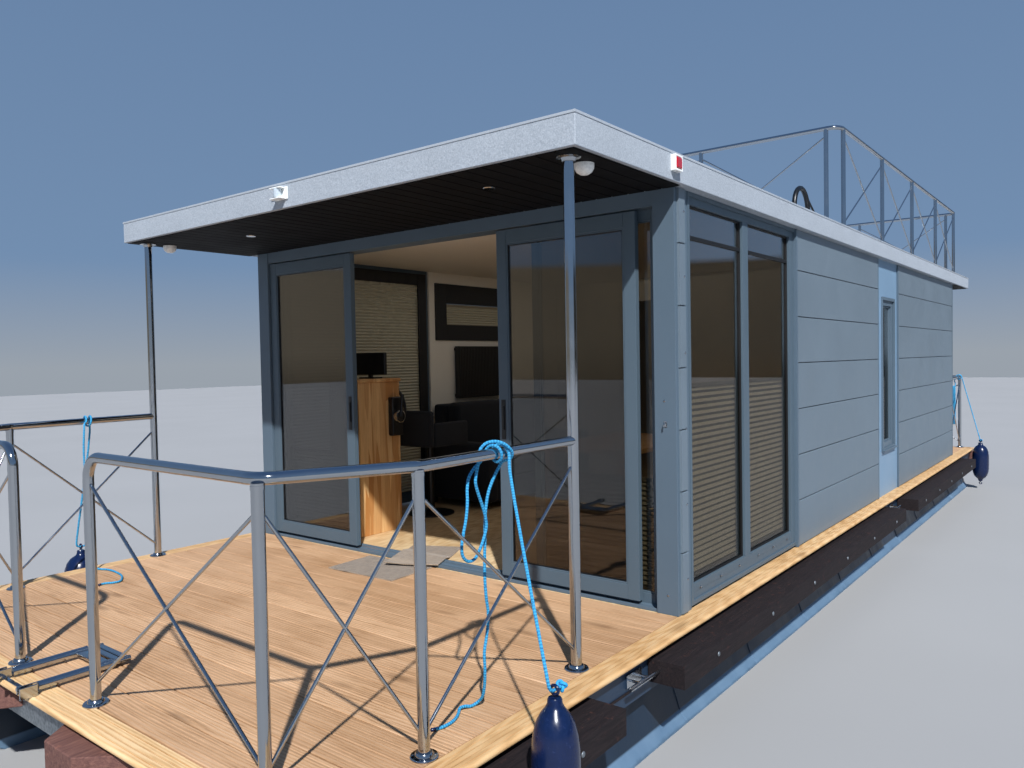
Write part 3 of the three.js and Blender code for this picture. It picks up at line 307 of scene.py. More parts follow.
def wood(name, pale, mid, dark, along="x", rough=0.6, knots=1.0):
    """Planks with grain along one axis, knots, and a tone of their own from the shade attribute."""
    paint = Paint(name)
    shade = paint.attribute("shade")
    own = paint.node("ShaderNodeCombineXYZ", {}, {0: shade * 17.0, 1: shade * 23.0, 2: shade * 11.0})
    at = paint.shift(paint.where(), own)
    grain = paint.node("ShaderNodeMapping", {}, {"Vector": at, "Scale": GRAIN[along]})
    spots = paint.node("ShaderNodeMapping", {}, {"Vector": at, "Scale": KNOTS[along]})
    far = paint.cells(spots, 1.0)
    knot = paint.level(far, 0.05, 0.17, 1.0, 0.0) * knots
    rings = paint.noise(grain, 1.6, 4.0, 0.55, 1.1)
    bands = paint.waves(grain, 1.7, 9.0)
    fine = paint.noise(grain, 17.0, 3.0, 0.7)
    figure = paint.level(rings * 0.6 + bands * 0.25 + fine * 0.3, 0.32, 0.82)
    tone = paint.ramp(figure, [(0.0, rgb(dark)), (0.45, rgb(mid)), (1.0, rgb(pale))])
    tone = paint.mix(knot * 0.75, tone, rgb(dark, 0.55))
    tone = paint.mix(shade * 0.55, tone, rgb(dark, 1.15))
    weather = paint.noise(paint.where(), 1.4, 5.0, 0.6)
    tone = paint.mix(paint.level(weather, 0.35, 0.75, 0.0, 0.35), tone, rgb(pale, 1.15))
    gloss = paint.level(fine, 0.2, 0.8, rough - 0.1, rough + 0.12)
    return paint.surface(tone, gloss, normal=paint.bump(fine * 0.7 + rings * 0.3, 0.0006))


def stainless(name):
    """Polished tube with faint smears and brush lines."""
    paint = Paint(name)
    at = paint.where()
    smear = paint.noise(at, 6.0, 4.0, 0.6)
    brush = paint.noise(at, 420.0, 2.0)
    tone = paint.mix(smear, rgb("b4b8bc", 0.9), rgb("b4b8bc", 1.05))
    gloss = paint.level(smear, 0.3, 0.75, 0.054, 0.18)
    return paint.surface(tone, gloss, normal=paint.bump(brush, 0.00005, 0.4), metal=1.0)


def zinc(name, plated=False):
    """Hot-dip galvanised steel with its spangle; where plated, dark sides and bright cleats."""
    paint = Paint(name)
    at = paint.where()
    spangle = paint.cells(at, 60.0)
    cloud = paint.noise(at, 4.0, 4.0)
    tone = paint.mix(spangle, rgb("6d757c"), rgb("a4abb0"))
    tone = paint.mix(cloud * 0.4, tone, rgb("565d63"))
    gloss = paint.level(cloud, 0.3, 0.7, 0.35, 0.6)
    if not plated:
        return paint.surface(tone, gloss, metal=0.8)
    reach = paint.maths("ABSOLUTE", paint.part(at, 1))
    side = reach > FRAME_HALF - 0.005
    cleat = reach > FRAME_HALF + 0.0095
    tone = paint.mix(side, tone, paint.mix(cloud, rgb("1a2b3f"), rgb("2a3e55")))
    tone = paint.mix(cleat, tone, rgb("c3c7cb"))
    metal = paint.level(side, 0.0, 1.0, 0.8, 0.1) + cleat * 0.9
    return paint.surface(tone, gloss - cleat * 0.3, metal=metal)


def glass(name, tint, low_share):
    """A tinted pane: clear through its face, a mirror at grazing angles, and a painted reflection: its
    mirror share is weaker low down.
    """
    paint = Paint(name)
    facing = paint.node("ShaderNodeLayerWeight", {}, {"Blend": 0.5}, output="Facing")
    dust = paint.noise(paint.where(), 3.0, 4.0)
    height = paint.part(paint.where(), 2)
    share = facing ** 4.0 * 0.5 + facing * 0.35 + (dust * 0.012 + 0.05)
    # Painted reflection: less mirror low on the pane, standing in for the darker surroundings it would
    # reflect there.
    share = share * paint.level(height, 2.20, 2.45, low_share, 1.0)
    clear = paint.node("ShaderNodeBsdfTransparent", {}, {"Color": tint})
    mirror = paint.node("ShaderNodeBsdfGlossy", {}, {"Color": grey(0.95), "Roughness": 0.015})
    return paint.done(paint.node("ShaderNodeMixShader", {}, {0: share, 1: clear, 2: mirror}))


def woven(name, dark, pale, threads=700.0, depth=0.0006, fluffy=0.25):
    """Cloth with crossed threads and worn patches."""
    paint = Paint(name)
    at = paint.where()
    warp, weft, rise = (paint.waves(at, threads / 6.3, 0.4, axis) for axis in "XYZ")
    cloth = warp * weft + rise * 0.5
    fluff = paint.noise(at, 24.0, 5.0, 0.7)
    tone = paint.mix(paint.level(cloth + fluff, 0.4, 1.3), rgb(dark), rgb(pale))
    return paint.surface(tone, 0.95, normal=paint.bump(cloth, depth), sheen=fluffy)


def pleated(name, shaded, lit):
    """Pleated cloth with painted light: upper flanks painted lit and paler, lower flanks painted in shade.
    """
    paint = Paint(name)
    threads = paint.noise(paint.where(), 900.0, 2.0)
    # Painted light and shade: faces marked by the fold attribute take the lit colour, the rest the shaded
    # one.
    tone = paint.mix(paint.attribute("fold"), rgb(shaded), rgb(lit))
    tone = paint.mix(threads * 0.15, tone, rgb(shaded))
    return paint.surface(tone, 0.85, normal=paint.bump(threads, 0.0002))


def moulded(name, code, rough=0.3, depth=0.0002, coat=0.0):
    """Moulded plastic or vinyl with a slight ripple."""
    paint = Paint(name)
    at = paint.where()
    ripple = paint.noise(at, 9.0, 3.0)
    dust = paint.noise(at, 60.0, 4.0, 0.7)
    tone = paint.mix(paint.level(dust, 0.4, 0.8), rgb(code), rgb(code, 1.35))
    gloss = paint.level(dust, 0.3, 0.8, rough - 0.05, rough + 0.1)
    return paint.surface(tone, gloss, normal=paint.bump(ripple + dust * 0.2, depth), coat=coat)


def braided(name):
    """Laid blue fibre with dark flecks, following the rope's own map."""
    paint = Paint(name)
    at = paint.node("ShaderNodeUVMap", {"uv_map": "lay"})
    along = paint.part(at, 0) * (2 * math.pi * 0.55)
    around_it = paint.part(at, 1) * (2 * math.pi * 4)
    plait = paint.maths("SINE", along + around_it) * paint.maths("SINE", along - around_it)
    fleck = paint.noise(at, 2.2, 2.0)
    tone = paint.mix(paint.level(plait, -0.6, 0.7), rgb("1377b4"), rgb("46b8e6"))
    tone = paint.mix(paint.level(fleck, 0.6, 0.68) * 0.8, tone, rgb("123a78"))
    return paint.surface(tone, 0.75, normal=paint.bump(plait, 0.0012))


def hull_paint(name):
    """Dark ship's paint: paler and streaked low down, and darker in a narrow band just above the waterline.
    """
    paint = Paint(name)
    at = paint.where()
    height = paint.part(at, 2)
    streak = paint.noise(paint.where((2.0, 2.0, 0.3)), 3.0, 5.0, 0.65)
    fine = paint.noise(at, 60.0, 4.0, 0.6)
    tone = paint.mix(streak, rgb("142332"), rgb("233447"))
    low = paint.level(height, *span(CHINE, 0.005), 1.0, 0.0)
    tone = paint.mix(low * 0.85, tone, paint.mix(streak, rgb("56738f"), rgb("7c99b3")))
    # A darker band from just below the waterline to about 37 mm above it.
    waterline_band = paint.level(height + streak * 0.05, WATERLINE - 0.003, WATERLINE + 0.037, 1.0, 0.0)
    tone = paint.mix(waterline_band * 0.7, tone, rgb("1c2326"))
    gloss = paint.level(streak, 0.3, 0.7, 0.28, 0.5)
    return paint.surface(tone, gloss, normal=paint.bump(fine + streak * 3.0, 0.0006), metal=0.15)


def tarred_timber(name, deep, mid, worn, scuffed):
    """Stained beam with checks along the grain and scuffed patches."""
    paint = Paint(name)
    at = paint.where((1.2, 14, 14))
    checks = paint.noise(at, 5.0, 5.0, 0.7, 0.6)
    cloud = paint.noise(paint.where(), 2.0, 5.0)
    scuff = paint.noise(paint.where(), 22.0, 5.0, 0.7)
    tone = paint.ramp(checks, [(0.25, rgb(deep)), (0.5, rgb(mid)), (0.8, rgb(worn))])
    tone = paint.mix(paint.level(cloud, 0.4, 0.7, 0.0, 0.5), tone, rgb(mid, 1.2))
    tone = paint.mix(paint.level(scuff, 0.60, 0.70) * 0.5, tone, rgb(scuffed))
    return paint.surface(tone, 0.8, normal=paint.bump(checks + scuff * 0.3, 0.004), shine=0.25)


def staves(name):
    """Oak staves glued side by side, each with its own tone."""
    paint = Paint(name)
    at = paint.where((22, 22, 1.1))
    grid = paint.cells(paint.where((24, 24, 1.6)), 1.0)
    share = paint.node("ShaderNodeSeparateColor", {}, {0: grid.other("Color")})
    grain = paint.noise(at, 4.0, 5.0, 0.65, 0.8)
    tone = paint.mix(share, rgb("bb8046"), rgb("efc68c"))
    tone = paint.mix(paint.level(grain, 0.3, 0.75), paint.mix(0.4, tone, rgb("9a6230")), tone)
    return paint.surface(tone, 0.45, normal=paint.bump(grain, 0.0005))


FINISH = {
    "steel": stainless("stainless_steel"),
    "deck": wood("deck_boards", "dcb691", "c39a72", "8d6846", "y", 0.62),
    "border": wood("border_boards", "efcf9f", "dbb07a", "a97f4f", "x", 0.55),
    "border_bow": wood("border_boards_bow", "efcf9f", "dbb07a", "a97f4f", "y", 0.55),
    "siding": painted("siding_paint", "6a7883", 0.5, 0.03, 90.0, 0.0006),
    "frame": painted("frame_paint", "52626e", 0.42, 0.02, shine=0.3),
    "post": painted("post_paint", "576876", 0.4, 0.02, shine=0.4),
    "panel": painted("panel_paint", "7a97b0", 0.4, 0.03),
    "roof": granular("roof_edge", "a2acb7"),
    "trim": painted("roof_trim", "c3c9cf", 0.3, 0.02, metal=0.3),
    "soffit": painted("soffit_boards", "09090c", 0.75, 0.03, 60.0, 0.0008, shine=0.15),
    "timber": tarred_timber("rub_timber", "120d10", "1f191b", "332828", "5d3a31"),
    "block": tarred_timber("end_block", "4a3231", "6e4d46", "8c6659", "9c6a58"),
    "hull": hull_paint("hull_paint"),
    "zinc": zinc("galvanised"),
    "plated": zinc("deck_frame_steel", True),
    # The last number is the mirror share low on each pane, a painted weakening of its reflection.
    "glass": glass("window_glass", (0.54, 0.52, 0.48, 1.0), 0.6),
    "side_glass": glass("side_window_glass", (0.56, 0.54, 0.50, 1.0), 0.3),
    "gasket": moulded("rubber_gasket", "090a0d", 0.6),
    "cream": painted("cream_panel", "e6dfd0", 0.6, 0.015),
    "oak": staves("oak_staves"),
    "floor": wood("floor_planks", "e6cfa8", "cdac7d", "a07c52", "x", 0.4, 0.3),
    "black": moulded("black_plastic", "0c0e11", 0.35),
    "white": moulded("white_plastic", "eceeec", 0.3),
    "red": moulded("red_lens", "b3151f", 0.12, coat=1.0),
    "green": moulded("green_lens", "127a3e", 0.12, coat=1.0),
    "clear": moulded("clear_lens", "b9c4cc", 0.08, coat=1.0),
    "navy": moulded("fender_vinyl", "091a3d", 0.22, 0.0006),
    "cowl": moulded("motor_paint", "17191d", 0.22, coat=0.6),
    "fabric": woven("dark_upholstery", "0e1015", "1b1f27", fluffy=0.05),
    "mat": woven("door_mat", "57493d", "a8947d", 260.0, 0.0015),
    # Blinds with painted light and shade on their flanks: strong on the first, faint on the soft one.
    "blind": pleated("pleated_blind", "6f664f", "f0e6c8"),
    "soft_blind": pleated("pleated_blind_soft", "b6b19c", "bcb7a2"),
    "rail": painted("blind_rail", "8f846d", 0.5, 0.02),
    "rope": braided("blue_rope"),
}


# Mesh tools

def smooth_steps(points, steps):
    """A centripetal curve through the points, as many closer points."""
    ends = [Vector(point) for point in points]
    ends = [ends[0] * 2 - ends[1], *ends, ends[-1] * 2 - ends[-2]]
    path = []
    for a, b, c, d in zip(ends, ends[1:], ends[2:], ends[3:]):
        first, middle, last = (max((q - p).length, 1e-6) ** 0.5 for p, q in ((a, b), (b, c), (c, d)))
        leave = ((b - a) / first - (c - a) / (first + middle) + (c - b) / middle) * middle
        arrive = ((c - b) / middle - (d - b) / (middle + last) + (d - c) / last) * middle
        for i in range(steps):
            t = i / steps
            part = b * (2 * t**3 - 3 * t**2 + 1) + c * (3 * t**2 - 2 * t**3)
            path.append(part + leave * (t**3 - 2 * t**2 + t) + arrive * (t**3 - t**2))
    path.append(ends[-2])
    return path


def rounded(points, radius, steps=8):
    """A path whose inner corners are arcs."""
    ends = [Vector(point) for point in points]
    path = [ends[0]]
    for before, corner, after in zip(ends, ends[1:], ends[2:]):
        u = (before - corner).normalized()
        v = (after - corner).normalized()
        half = u.angle(v) / 2
        if half > 1.56:
            path.append(corner)
            continue
        longest = min((before - corner).length, (after - corner).length) * 0.49
        reach = min(radius / math.tan(half), longest)
        bend = reach * math.tan(half)
        middle = corner + (u + v).normalized() * (bend / math.sin(half))
        start = corner + u * reach - middle
        axis = start.cross(corner + v * reach - middle).normalized()
        for i in range(steps + 1):
            path.append(middle + Matrix.Rotation((math.pi - 2 * half) * i / steps, 3, axis) @ start)
    path.append(ends[-1])
    return path


def circle(centre, radius, count, first, second):
    """Points round a centre, in the plane of two directions."""
    angles = [2 * math.pi * i / count for i in range(count)]
    return [Vector(centre) + (first * math.cos(a) + second * math.sin(a)) * radius for a in angles]


def tube(bm, path, radius, sides=16, closed=False, lay=None):
    """A round tube along a path. Radius is a number, or one for each point."""
    points = [Vector(point) for point in path]
    count = len(points)
    radii = radius if isinstance(radius, (list, tuple)) else [radius] * count
    ahead = []
    for i in range(count):
        after = points[(i + 1) % count] if closed else points[min(i + 1, count - 1)]
        before = points[i - 1] if closed or i else points[0]
        ahead.append((after - before).normalized())
    side = ahead[0].orthogonal().normalized()
    rings = []
    for point, aim, size in zip(points, ahead, radii):
        side = (side - aim * side.dot(aim)).normalized()
        rings.append([bm.verts.new(spot) for spot in circle(point, size, sides, side, aim.cross(side))])
    run = [0.0]
    for a, b in zip(points, points[1:]):
        run.append(run[-1] + (b - a).length)
    for i in range(count if closed else count - 1):
        here = rings[i]
        there = rings[(i + 1) % count]
        for j in range(sides):
            k = (j + 1) % sides
            face = bm.faces.new((here[j], here[k], there[k], there[j]))
            if lay:
                turns = (j / sides, (j + 1) / sides, (j + 1) / sides, j / sides)
                lengths = (run[i], run[i], run[i + 1], run[i + 1])
                for loop, length, turn in zip(face.loops, lengths, turns):
                    loop[lay].uv = (length / (2 * radii[i]), turn)
    if not closed:
        bm.faces.new(list(reversed(rings[0])))
        bm.faces.new(rings[-1])


def ease(bm, edges, bevel, segments=2, profile=0.5, clamp=False):
    """Rounds edges off."""
    bmesh.ops.bevel(
        bm,
        geom=edges,
        offset=bevel,
        segments=segments,
        profile=profile,
        affect="EDGES",
        clamp_overlap=clamp,
    )


def slab(bm, x, y, z, bevel=0.0, segments=2):
    """A block between limits, with rounded edges."""
    size = [abs(b - a) for a, b in (x, y, z)]
    centre = [(a + b) / 2 for a, b in (x, y, z)]
    place = Matrix.Translation(centre) @ Matrix.Diagonal((*size, 1))
    made = bmesh.ops.create_cube(bm, size=1, matrix=place)
    if bevel:
        ease(bm, list({edge for vert in made["verts"] for edge in vert.link_edges}), bevel, segments)


AXES = {"x": (1, 2, 0), "y": (0, 2, 1), "z": (0, 1, 2)}


def prism(bm, outline, axis, limits):
    """An outline in the plane across an axis, pushed along it."""
    first, second, third = AXES[axis]
    rings = []
    for level in limits:
        ring = []
        for a, b in outline:
            at = [0.0, 0.0, 0.0]
            at[first], at[second], at[third] = a, b, level
            ring.append(bm.verts.new(at))
        rings.append(ring)
    count = len(outline)
    made = [bm.faces.new(rings[0]), bm.faces.new(list(reversed(rings[1])))]
    for i in range(count):
        j = (i + 1) % count
        made.append(bm.faces.new((rings[0][j], rings[0][i], rings[1][i], rings[1][j])))
    bmesh.ops.recalc_face_normals(bm, faces=made)
    return made


def lathe(bm, profile, centre, axis=UP, sides=32):
    """A turned shape: rows of radius and distance along the axis, from its pole to its pole."""
    aim = Vector(axis).normalized()
    side = aim.orthogonal().normalized()
    rings = []
    for radius, along in profile:
        spots = circle(Vector(centre) + aim * along, radius, sides, side, aim.cross(side))
        rings.append([bm.verts.new(spot) for spot in spots[:sides if radius else 1]])
    made = []
    for here, there in zip(rings, rings[1:]):
        for j in range(sides):
            k = (j + 1) % sides
            pairs = ((here, j), (here, k), (there, k), (there, j))
            corners = dict.fromkeys(ring[i % len(ring)] for ring, i in pairs)
            made.append(bm.faces.new(list(corners)))
    for ring in (rings[0], rings[-1]):
        if len(ring) > 1:
            made.append(bm.faces.new(ring))
    bmesh.ops.recalc_face_normals(bm, faces=made)


def frame_bars(bm, axis, depth, across, up, stile, rail, bevel=0.002):
    """Four bars round an opening: two stiles and two rails, across an axis."""
    first, second, third = AXES[axis]
    rows = [
        ((across[0], across[0] + stile), up),
        ((across[1] - stile, across[1]), up),
        ((across[0] + stile, across[1] - stile), (up[0], up[0] + rail)),
        ((across[0] + stile, across[1] - stile), (up[1] - rail, up[1])),
    ]
    for wide, high in rows:
        limits = [None, None, None]
        limits[first], limits[second], limits[third] = wide, high, depth
        slab(bm, *limits, bevel)


def shaded(mesh, angle):
    mesh.shade_smooth()
    mesh.set_sharp_from_angle(angle=math.radians(angle))


def piece(name, bm, finish, body="hull", stands_for=(), angle=32):
    """A finished piece from its mesh, riding on its body."""
    mesh = bpy.data.meshes.new(name)
    bm.to_mesh(mesh)
    bm.free()
    return settle(name, mesh, finish, body, stands_for, angle)


def settle(name, mesh, finish, body="hull", stands_for=(), angle=32):
    if not mesh.materials:
        mesh.materials.append(FINISH[finish])
    shaded(mesh, angle)
    made = bpy.data.objects.new(name, mesh)
    bpy.context.scene.collection.objects.link(made)
    if angle < 45:
        weigh = made.modifiers.new("flat_faces", "WEIGHTED_NORMAL")
        weigh.keep_sharp = True
    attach(made, body)
    if stands_for:
        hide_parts(*stands_for)
    return made


def dress(node, finish):
    """A better finish on a solid that keeps its shape."""
    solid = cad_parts[node]
    solid.data.materials.clear()
    solid.data.materials.append(FINISH[finish])


def refine(node, finish, body="hull", bevel=0.003, segments=2):
    """A copy of a solid with its edges eased, standing for it."""
    bm = bmesh.new()
    bm.from_mesh(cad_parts[node].data)
    bmesh.ops.remove_doubles(bm, verts=bm.verts, dist=1e-5)
    bmesh.ops.dissolve_limit(bm, angle_limit=math.radians(1), verts=bm.verts, edges=bm.edges)
    sharp = math.radians(25)
    edges = [e for e in bm.edges if len(e.link_faces) == 2 and e.calc_face_angle(0) > sharp]
    ease(bm, edges, bevel, segments, clamp=True)
    return piece(node + "_skin", bm, finish, body, (node,), 30)


# Growth trees

class Growth(Net):
    """A tree of geometry nodes with named inputs."""

    def __init__(self, name, inputs):
        self.group = bpy.data.node_groups.new(name, "GeometryNodeTree")
        super().__init__(self.group)
        face = self.group.interface
        face.new_socket("Geometry", in_out="INPUT", socket_type="NodeSocketGeometry")
        face.new_socket("Geometry", in_out="OUTPUT", socket_type="NodeSocketGeometry")
        for label, kind in inputs.items():
            face.new_socket(label, in_out="INPUT", socket_type="NodeSocket" + kind)
        self.start = self.group.nodes.new("NodeGroupInput")

    def given(self, label):
        return Wire(self, self.start.outputs[label])

    def chance(self, seed, low=0.0):
        """A random number up to one for each copy."""
        values = {2: low, 3: 1.0, "ID": self.node("GeometryNodeInputIndex"), "Seed": seed}
        return self.node("FunctionNodeRandomValue", {"data_type": "FLOAT"}, values, output=1)

    def close(self, geometry):
        whole = self.node("GeometryNodeRealizeInstances", {}, {"Geometry": geometry})
        values = {"Geometry": whole, "Material": self.given("Finish")}
        dressed = self.node("GeometryNodeSetMaterial", {}, values)
        self.node("NodeGroupOutput", {}, {"Geometry": dressed})


def grow(name, bm, tree, values, finish, body="hull", slot=None, stands_for=(), angle=32):
    """Runs a tree on a starting mesh and keeps the result as a plain piece."""
    start = bpy.data.meshes.new(name + "_start")
    bm.to_mesh(start)
    bm.free()
    source = bpy.data.objects.new(name + "_source", start)
    bpy.context.scene.collection.objects.link(source)
    modifier = source.modifiers.new("growth", "NODES")
    modifier.node_group = tree.group
    wanted = {**values, "Finish": FINISH[finish]}
    for item in tree.group.interface.items_tree:
        if item.item_type == "SOCKET" and item.in_out == "INPUT" and item.name in wanted:
            modifier[item.identifier] = wanted[item.name]
    depsgraph = bpy.context.evaluated_depsgraph_get()
    mesh = bpy.data.meshes.new_from_object(source.evaluated_get(depsgraph))
    mesh.name = name
    source.modifiers.remove(modifier)
    bpy.data.objects.remove(source)
    return settle(name, mesh, finish, body, stands_for, angle)


def row_tree():
    """The starting mesh repeated in a straight row, each copy with a tone of its own."""
    inputs = {"Count": "Int", "Step": "Vector", "Jitter": "Float", "Seed": "Int", "Finish": "Material"}
    tree = Growth("row", inputs)
    count, step, jitter, seed, _ = (tree.given(label) for label in inputs)
    line = tree.node("GeometryNodeMeshLine", {"mode": "OFFSET"}, {"Count": count, "Offset": step})
    values = {"Points": line, "Instance": tree.given("Geometry")}
    copies = tree.node("GeometryNodeInstanceOnPoints", {}, values)
    lift = tree.node("ShaderNodeCombineXYZ", {}, {2: tree.chance(seed + 7, -1.0) * jitter})
    moved = tree.node("GeometryNodeTranslateInstances", {}, {"Instances": copies, "Translation": lift})
    settings = {"data_type": "FLOAT", "domain": "INSTANCE"}
    values = {"Geometry": moved, "Name": "shade", "Value": tree.chance(seed)}
    tree.close(tree.node("GeometryNodeStoreNamedAttribute", settings, values))
    return tree


def stud_tree():
    """Low round heads on the points of the starting mesh, turned to its facing attribute."""
    tree = Growth("studs", {"Radius": "Float", "Rise": "Float", "Finish": "Material"})
    values = {"Segments": 12, "Rings": 6, "Radius": tree.given("Radius")}
    head = tree.node("GeometryNodeMeshUVSphere", {}, values)
    size = tree.node("ShaderNodeCombineXYZ", {}, {0: 1.0, 1: 1.0, 2: tree.given("Rise")})
    flat = tree.node("GeometryNodeTransform", {}, {"Geometry": head, "Scale": size})
    settings = {"data_type": "FLOAT_VECTOR"}
    facing = tree.node("GeometryNodeInputNamedAttribute", settings, {"Name": "facing"})
    turn = tree.node("FunctionNodeAlignRotationToVector", {"axis": "Z"}, {"Vector": facing})
    values = {"Points": tree.given("Geometry"), "Instance": flat, "Rotation": turn}
    tree.close(tree.node("GeometryNodeInstanceOnPoints", {}, values))
    return tree


ROW = row_tree()
STUDS = stud_tree()


def studs(name, rows, radius, finish="steel", rise=0.5):
    """Screw or bolt heads at rows of place and facing."""
    bm = bmesh.new()
    layer = bm.verts.layers.float_vector.new("facing")
    for at, facing in rows:
        bm.verts.new(at)[layer] = facing
    return grow(name, bm, STUDS, {"Radius": radius, "Rise": rise}, finish, angle=60)


def row(name, bm, count, step, finish, seed=1, jitter=0.0, **more):
    values = {"Count": count, "Step": step, "Jitter": jitter, "Seed": seed}
    return grow(name, bm, ROW, values, finish, **more)


# Fenders and ropes

ROPE = 0.006
ROPE_TURN = TUBE + ROPE + 0.006
FENDER = {"neck": 0.026, "eye": 0.030}
FORE_FENDER = {"at": (FRONT + 1.656, FRAME_HALF + 0.290, DECK + 0.262), "radius": 0.086, "length": 0.600}
AFT_FENDER = {"at": (STERN + 0.255, EDGE + 0.110, DECK + 0.126), "radius": 0.104, "length": 0.540}
SIDE_FENDER = {"at": (4.998, -2.118, 1.085), "radius": 0.115, "length": 0.480}
STERN_POST = STERN + 0.070
FORE_TOP = DECK + 1.055 - TUBE
AFT_TOP = DECK + 1.050 - TUBE
FORE_RAIL = (FRONT + 1.415, RAIL_HALF, FORE_TOP)
AFT_RAIL = (STERN_POST + 0.044, RAIL_HALF, AFT_TOP)
SIDE_RAIL = (5.012, -1.8535, FORE_TOP)

# Second strand of the starboard rope, from the rail, and its tail over the deck.
SIDE_STRAND = [
    (0.062, 0.040, -0.014),
    (0.070, 0.048, -0.060),
    (0.078, 0.050, -0.200),
    (0.070, 0.048, -0.480),
    (0.052, 0.036, -0.780),
    (0.034, 0.020, -0.940),
]
SIDE_TAIL = [
    (5.034, -1.840, 0.036),
    (5.018, -1.832, 0.014),
    (4.996, -1.806, 0.008),
    (4.980, -1.764, 0.008),
    (4.974, -1.693, 0.008),
    (4.993, -1.541, 0.008),
    (5.025, -1.460, 0.008),
    (5.072, -1.392, 0.008),
    (5.110, -1.392, 0.008),
    (5.150, -1.420, 0.008),
    (5.192, -1.418, 0.008),
]

EYE_ROUTE = [
    (-0.036, 0, 0),
    (-0.014, 0, 0),
    (0.006, 0, 0),
    (0.018, -0.001, 0.003),
    (0.027, -0.002, 0.012),
    (0.030, -0.004, 0.025),
    (0.030, -0.012, 0.060),
]
BIGHT_ROUTE = [
    (0.080, -0.042, -0.028),
    (0.112, -0.054, -0.058),
    (0.140, -0.056, -0.092),
    (0.153, -0.052, -0.130),
    (0.163, -0.044, -0.180),
    (0.177, -0.040, -0.240),
    (0.195, -0.039, -0.294),
    (0.206, -0.039, -0.340),
    (0.200, -0.039, -0.381),
    (0.170, -0.039, -0.406),
    (0.132, -0.039, -0.404),
    (0.102, -0.038, -0.373),
    (0.076, -0.037, -0.330),
    (0.062, -0.036, -0.292),
    (0.066, -0.036, -0.252),
    (0.086, -0.036, -0.199),
    (0.110, -0.036, -0.146),
    (0.122, -0.036, -0.106),
    (0.114, -0.036, -0.066),
    (0.103, -0.035, -0.028),
]
HITCH_ROUTE = [
    (180, 0.100, 0.034),
    (150, 0.088, 0.041),
    (120, 0.070, 0.047),
    (90, 0.048, 0.048),
    (60, 0.028, 0.048),
    (30, 0.008, 0.047),
    (0, -0.013, 0.042),
    (-30, -0.020, 0.037),
    (-60, -0.024, 0.034),
    (-90, -0.026, 0.034),
]
TAIL_ROUTE = [
    (-0.026, -0.020, -0.041),
    (-0.023, -0.034, -0.062),
    (-0.008, -0.048, -0.100),
    (0.021, -0.056, -0.160),
    (0.040, -0.058, -0.240),
    (0.047, -0.057, -0.340),
    (0.053, -0.056, -0.422),
    (0.056, -0.054, -0.506),
    (0.052, -0.052, -0.580),
    (0.042, -0.052, -0.640),
    (0.046, -0.052, -0.693),
    (0.058, -0.052, -0.745),
    (0.070, -0.052, -0.790),
    (0.069, -0.052, -0.862),
    (0.062, -0.060, -0.915),
]
DECK_ROUTE = [
    (0.050, -0.082, 0.052),
    (0.046, -0.102, 0.026),
    (0.056, -0.118, 0.011),
    (0.078, -0.124, 0.008),
    (0.102, -0.133, 0.014),
    (0.126, -0.138, 0.014),
    (0.150, -0.124, 0.008),
    (0.185, -0.104, 0.008),
    (0.230, -0.090, 0.008),
    (0.285, -0.093, 0.008),
    (0.318, -0.108, 0.008),
]


def start_at(origin, rows, hand=1):
    return [Vector(origin) + Vector((x, hand * y, z)) for x, y, z in rows]


def around(rail, rows):
    """Points round a rail along X, from rows of degrees, distance along it and radius."""
    points = []
    for degrees, along, radius in rows:
        angle = math.radians(degrees)
        points.append(Vector(rail) + Vector((along, radius * math.cos(angle), radius * math.sin(angle))))
    return points


def turns(rail, pitch, first=0, hand=1):
    return around(rail, [(first + hand * 45 * i, pitch * i / 8, ROPE_TURN) for i in range(13)])


def fore_route():
    rail = Vector(FORE_RAIL)
    return [
        *start_at(FORE_FENDER["at"], EYE_ROUTE),
        rail + Vector((0.028, 0.060, -0.066)),
        *turns(rail, 0.044),
        *start_at(rail, BIGHT_ROUTE),
        *around(rail, HITCH_ROUTE),
        *start_at(rail, TAIL_ROUTE),
        *start_at((rail.x, rail.y, DECK), DECK_ROUTE),
    ]


HANK = {"below": 0.096, "half": 0.034, "length": 0.600, "rounds": 2, "pitch": 0.0135}


def aft_route():
    """Up from the fender, round the rail, and down into the hank's turns."""
    rail = Vector(AFT_RAIL)
    middle = rail.x + 0.048
    route = [
        *start_at(AFT_FENDER["at"], EYE_ROUTE),
        rail + Vector((-0.012, 0.052, -0.080)),
        *turns(rail, 0.032),
        Vector((middle, rail.y - ROPE_TURN - 0.006, rail.z - 0.024)),
        Vector((middle, rail.y - 0.055, rail.z - 0.058)),
        Vector((middle, rail.y - 0.0425, rail.z - 0.086)),
    ]
    half = HANK["half"]
    top = rail.z - HANK["below"] - half - 0.030
    bottom = rail.z - HANK["below"] - HANK["length"] + half + 0.012
    route.append(Vector((middle + half * 0.7, rail.y - 0.0425, top + 0.004)))
    steps = 12
    for i in range(HANK["rounds"] * steps + 3):
        angle = -2 * math.pi * i / steps
        level = top if math.sin(angle) > -0.01 else bottom
        depth = 0.0430 + HANK["pitch"] * i / steps
        across, rise = half * math.cos(angle), half * math.sin(angle) * 0.9
        route.append(Vector((middle + across, rail.y - depth, level + rise)))
    return route


def starboard_route():
    """Up from the fender, round the rail, and down to a tail that lies on the deck."""
    rail = Vector(SIDE_RAIL)
    return [
        *start_at(SIDE_FENDER["at"], EYE_ROUTE, -1),
        rail + Vector((-0.012, -0.056, -0.080)),
        *turns(rail, 0.032, 180, -1),
        *start_at(rail, SIDE_STRAND),
        *start_at((0, 0, DECK), SIDE_TAIL),
    ]


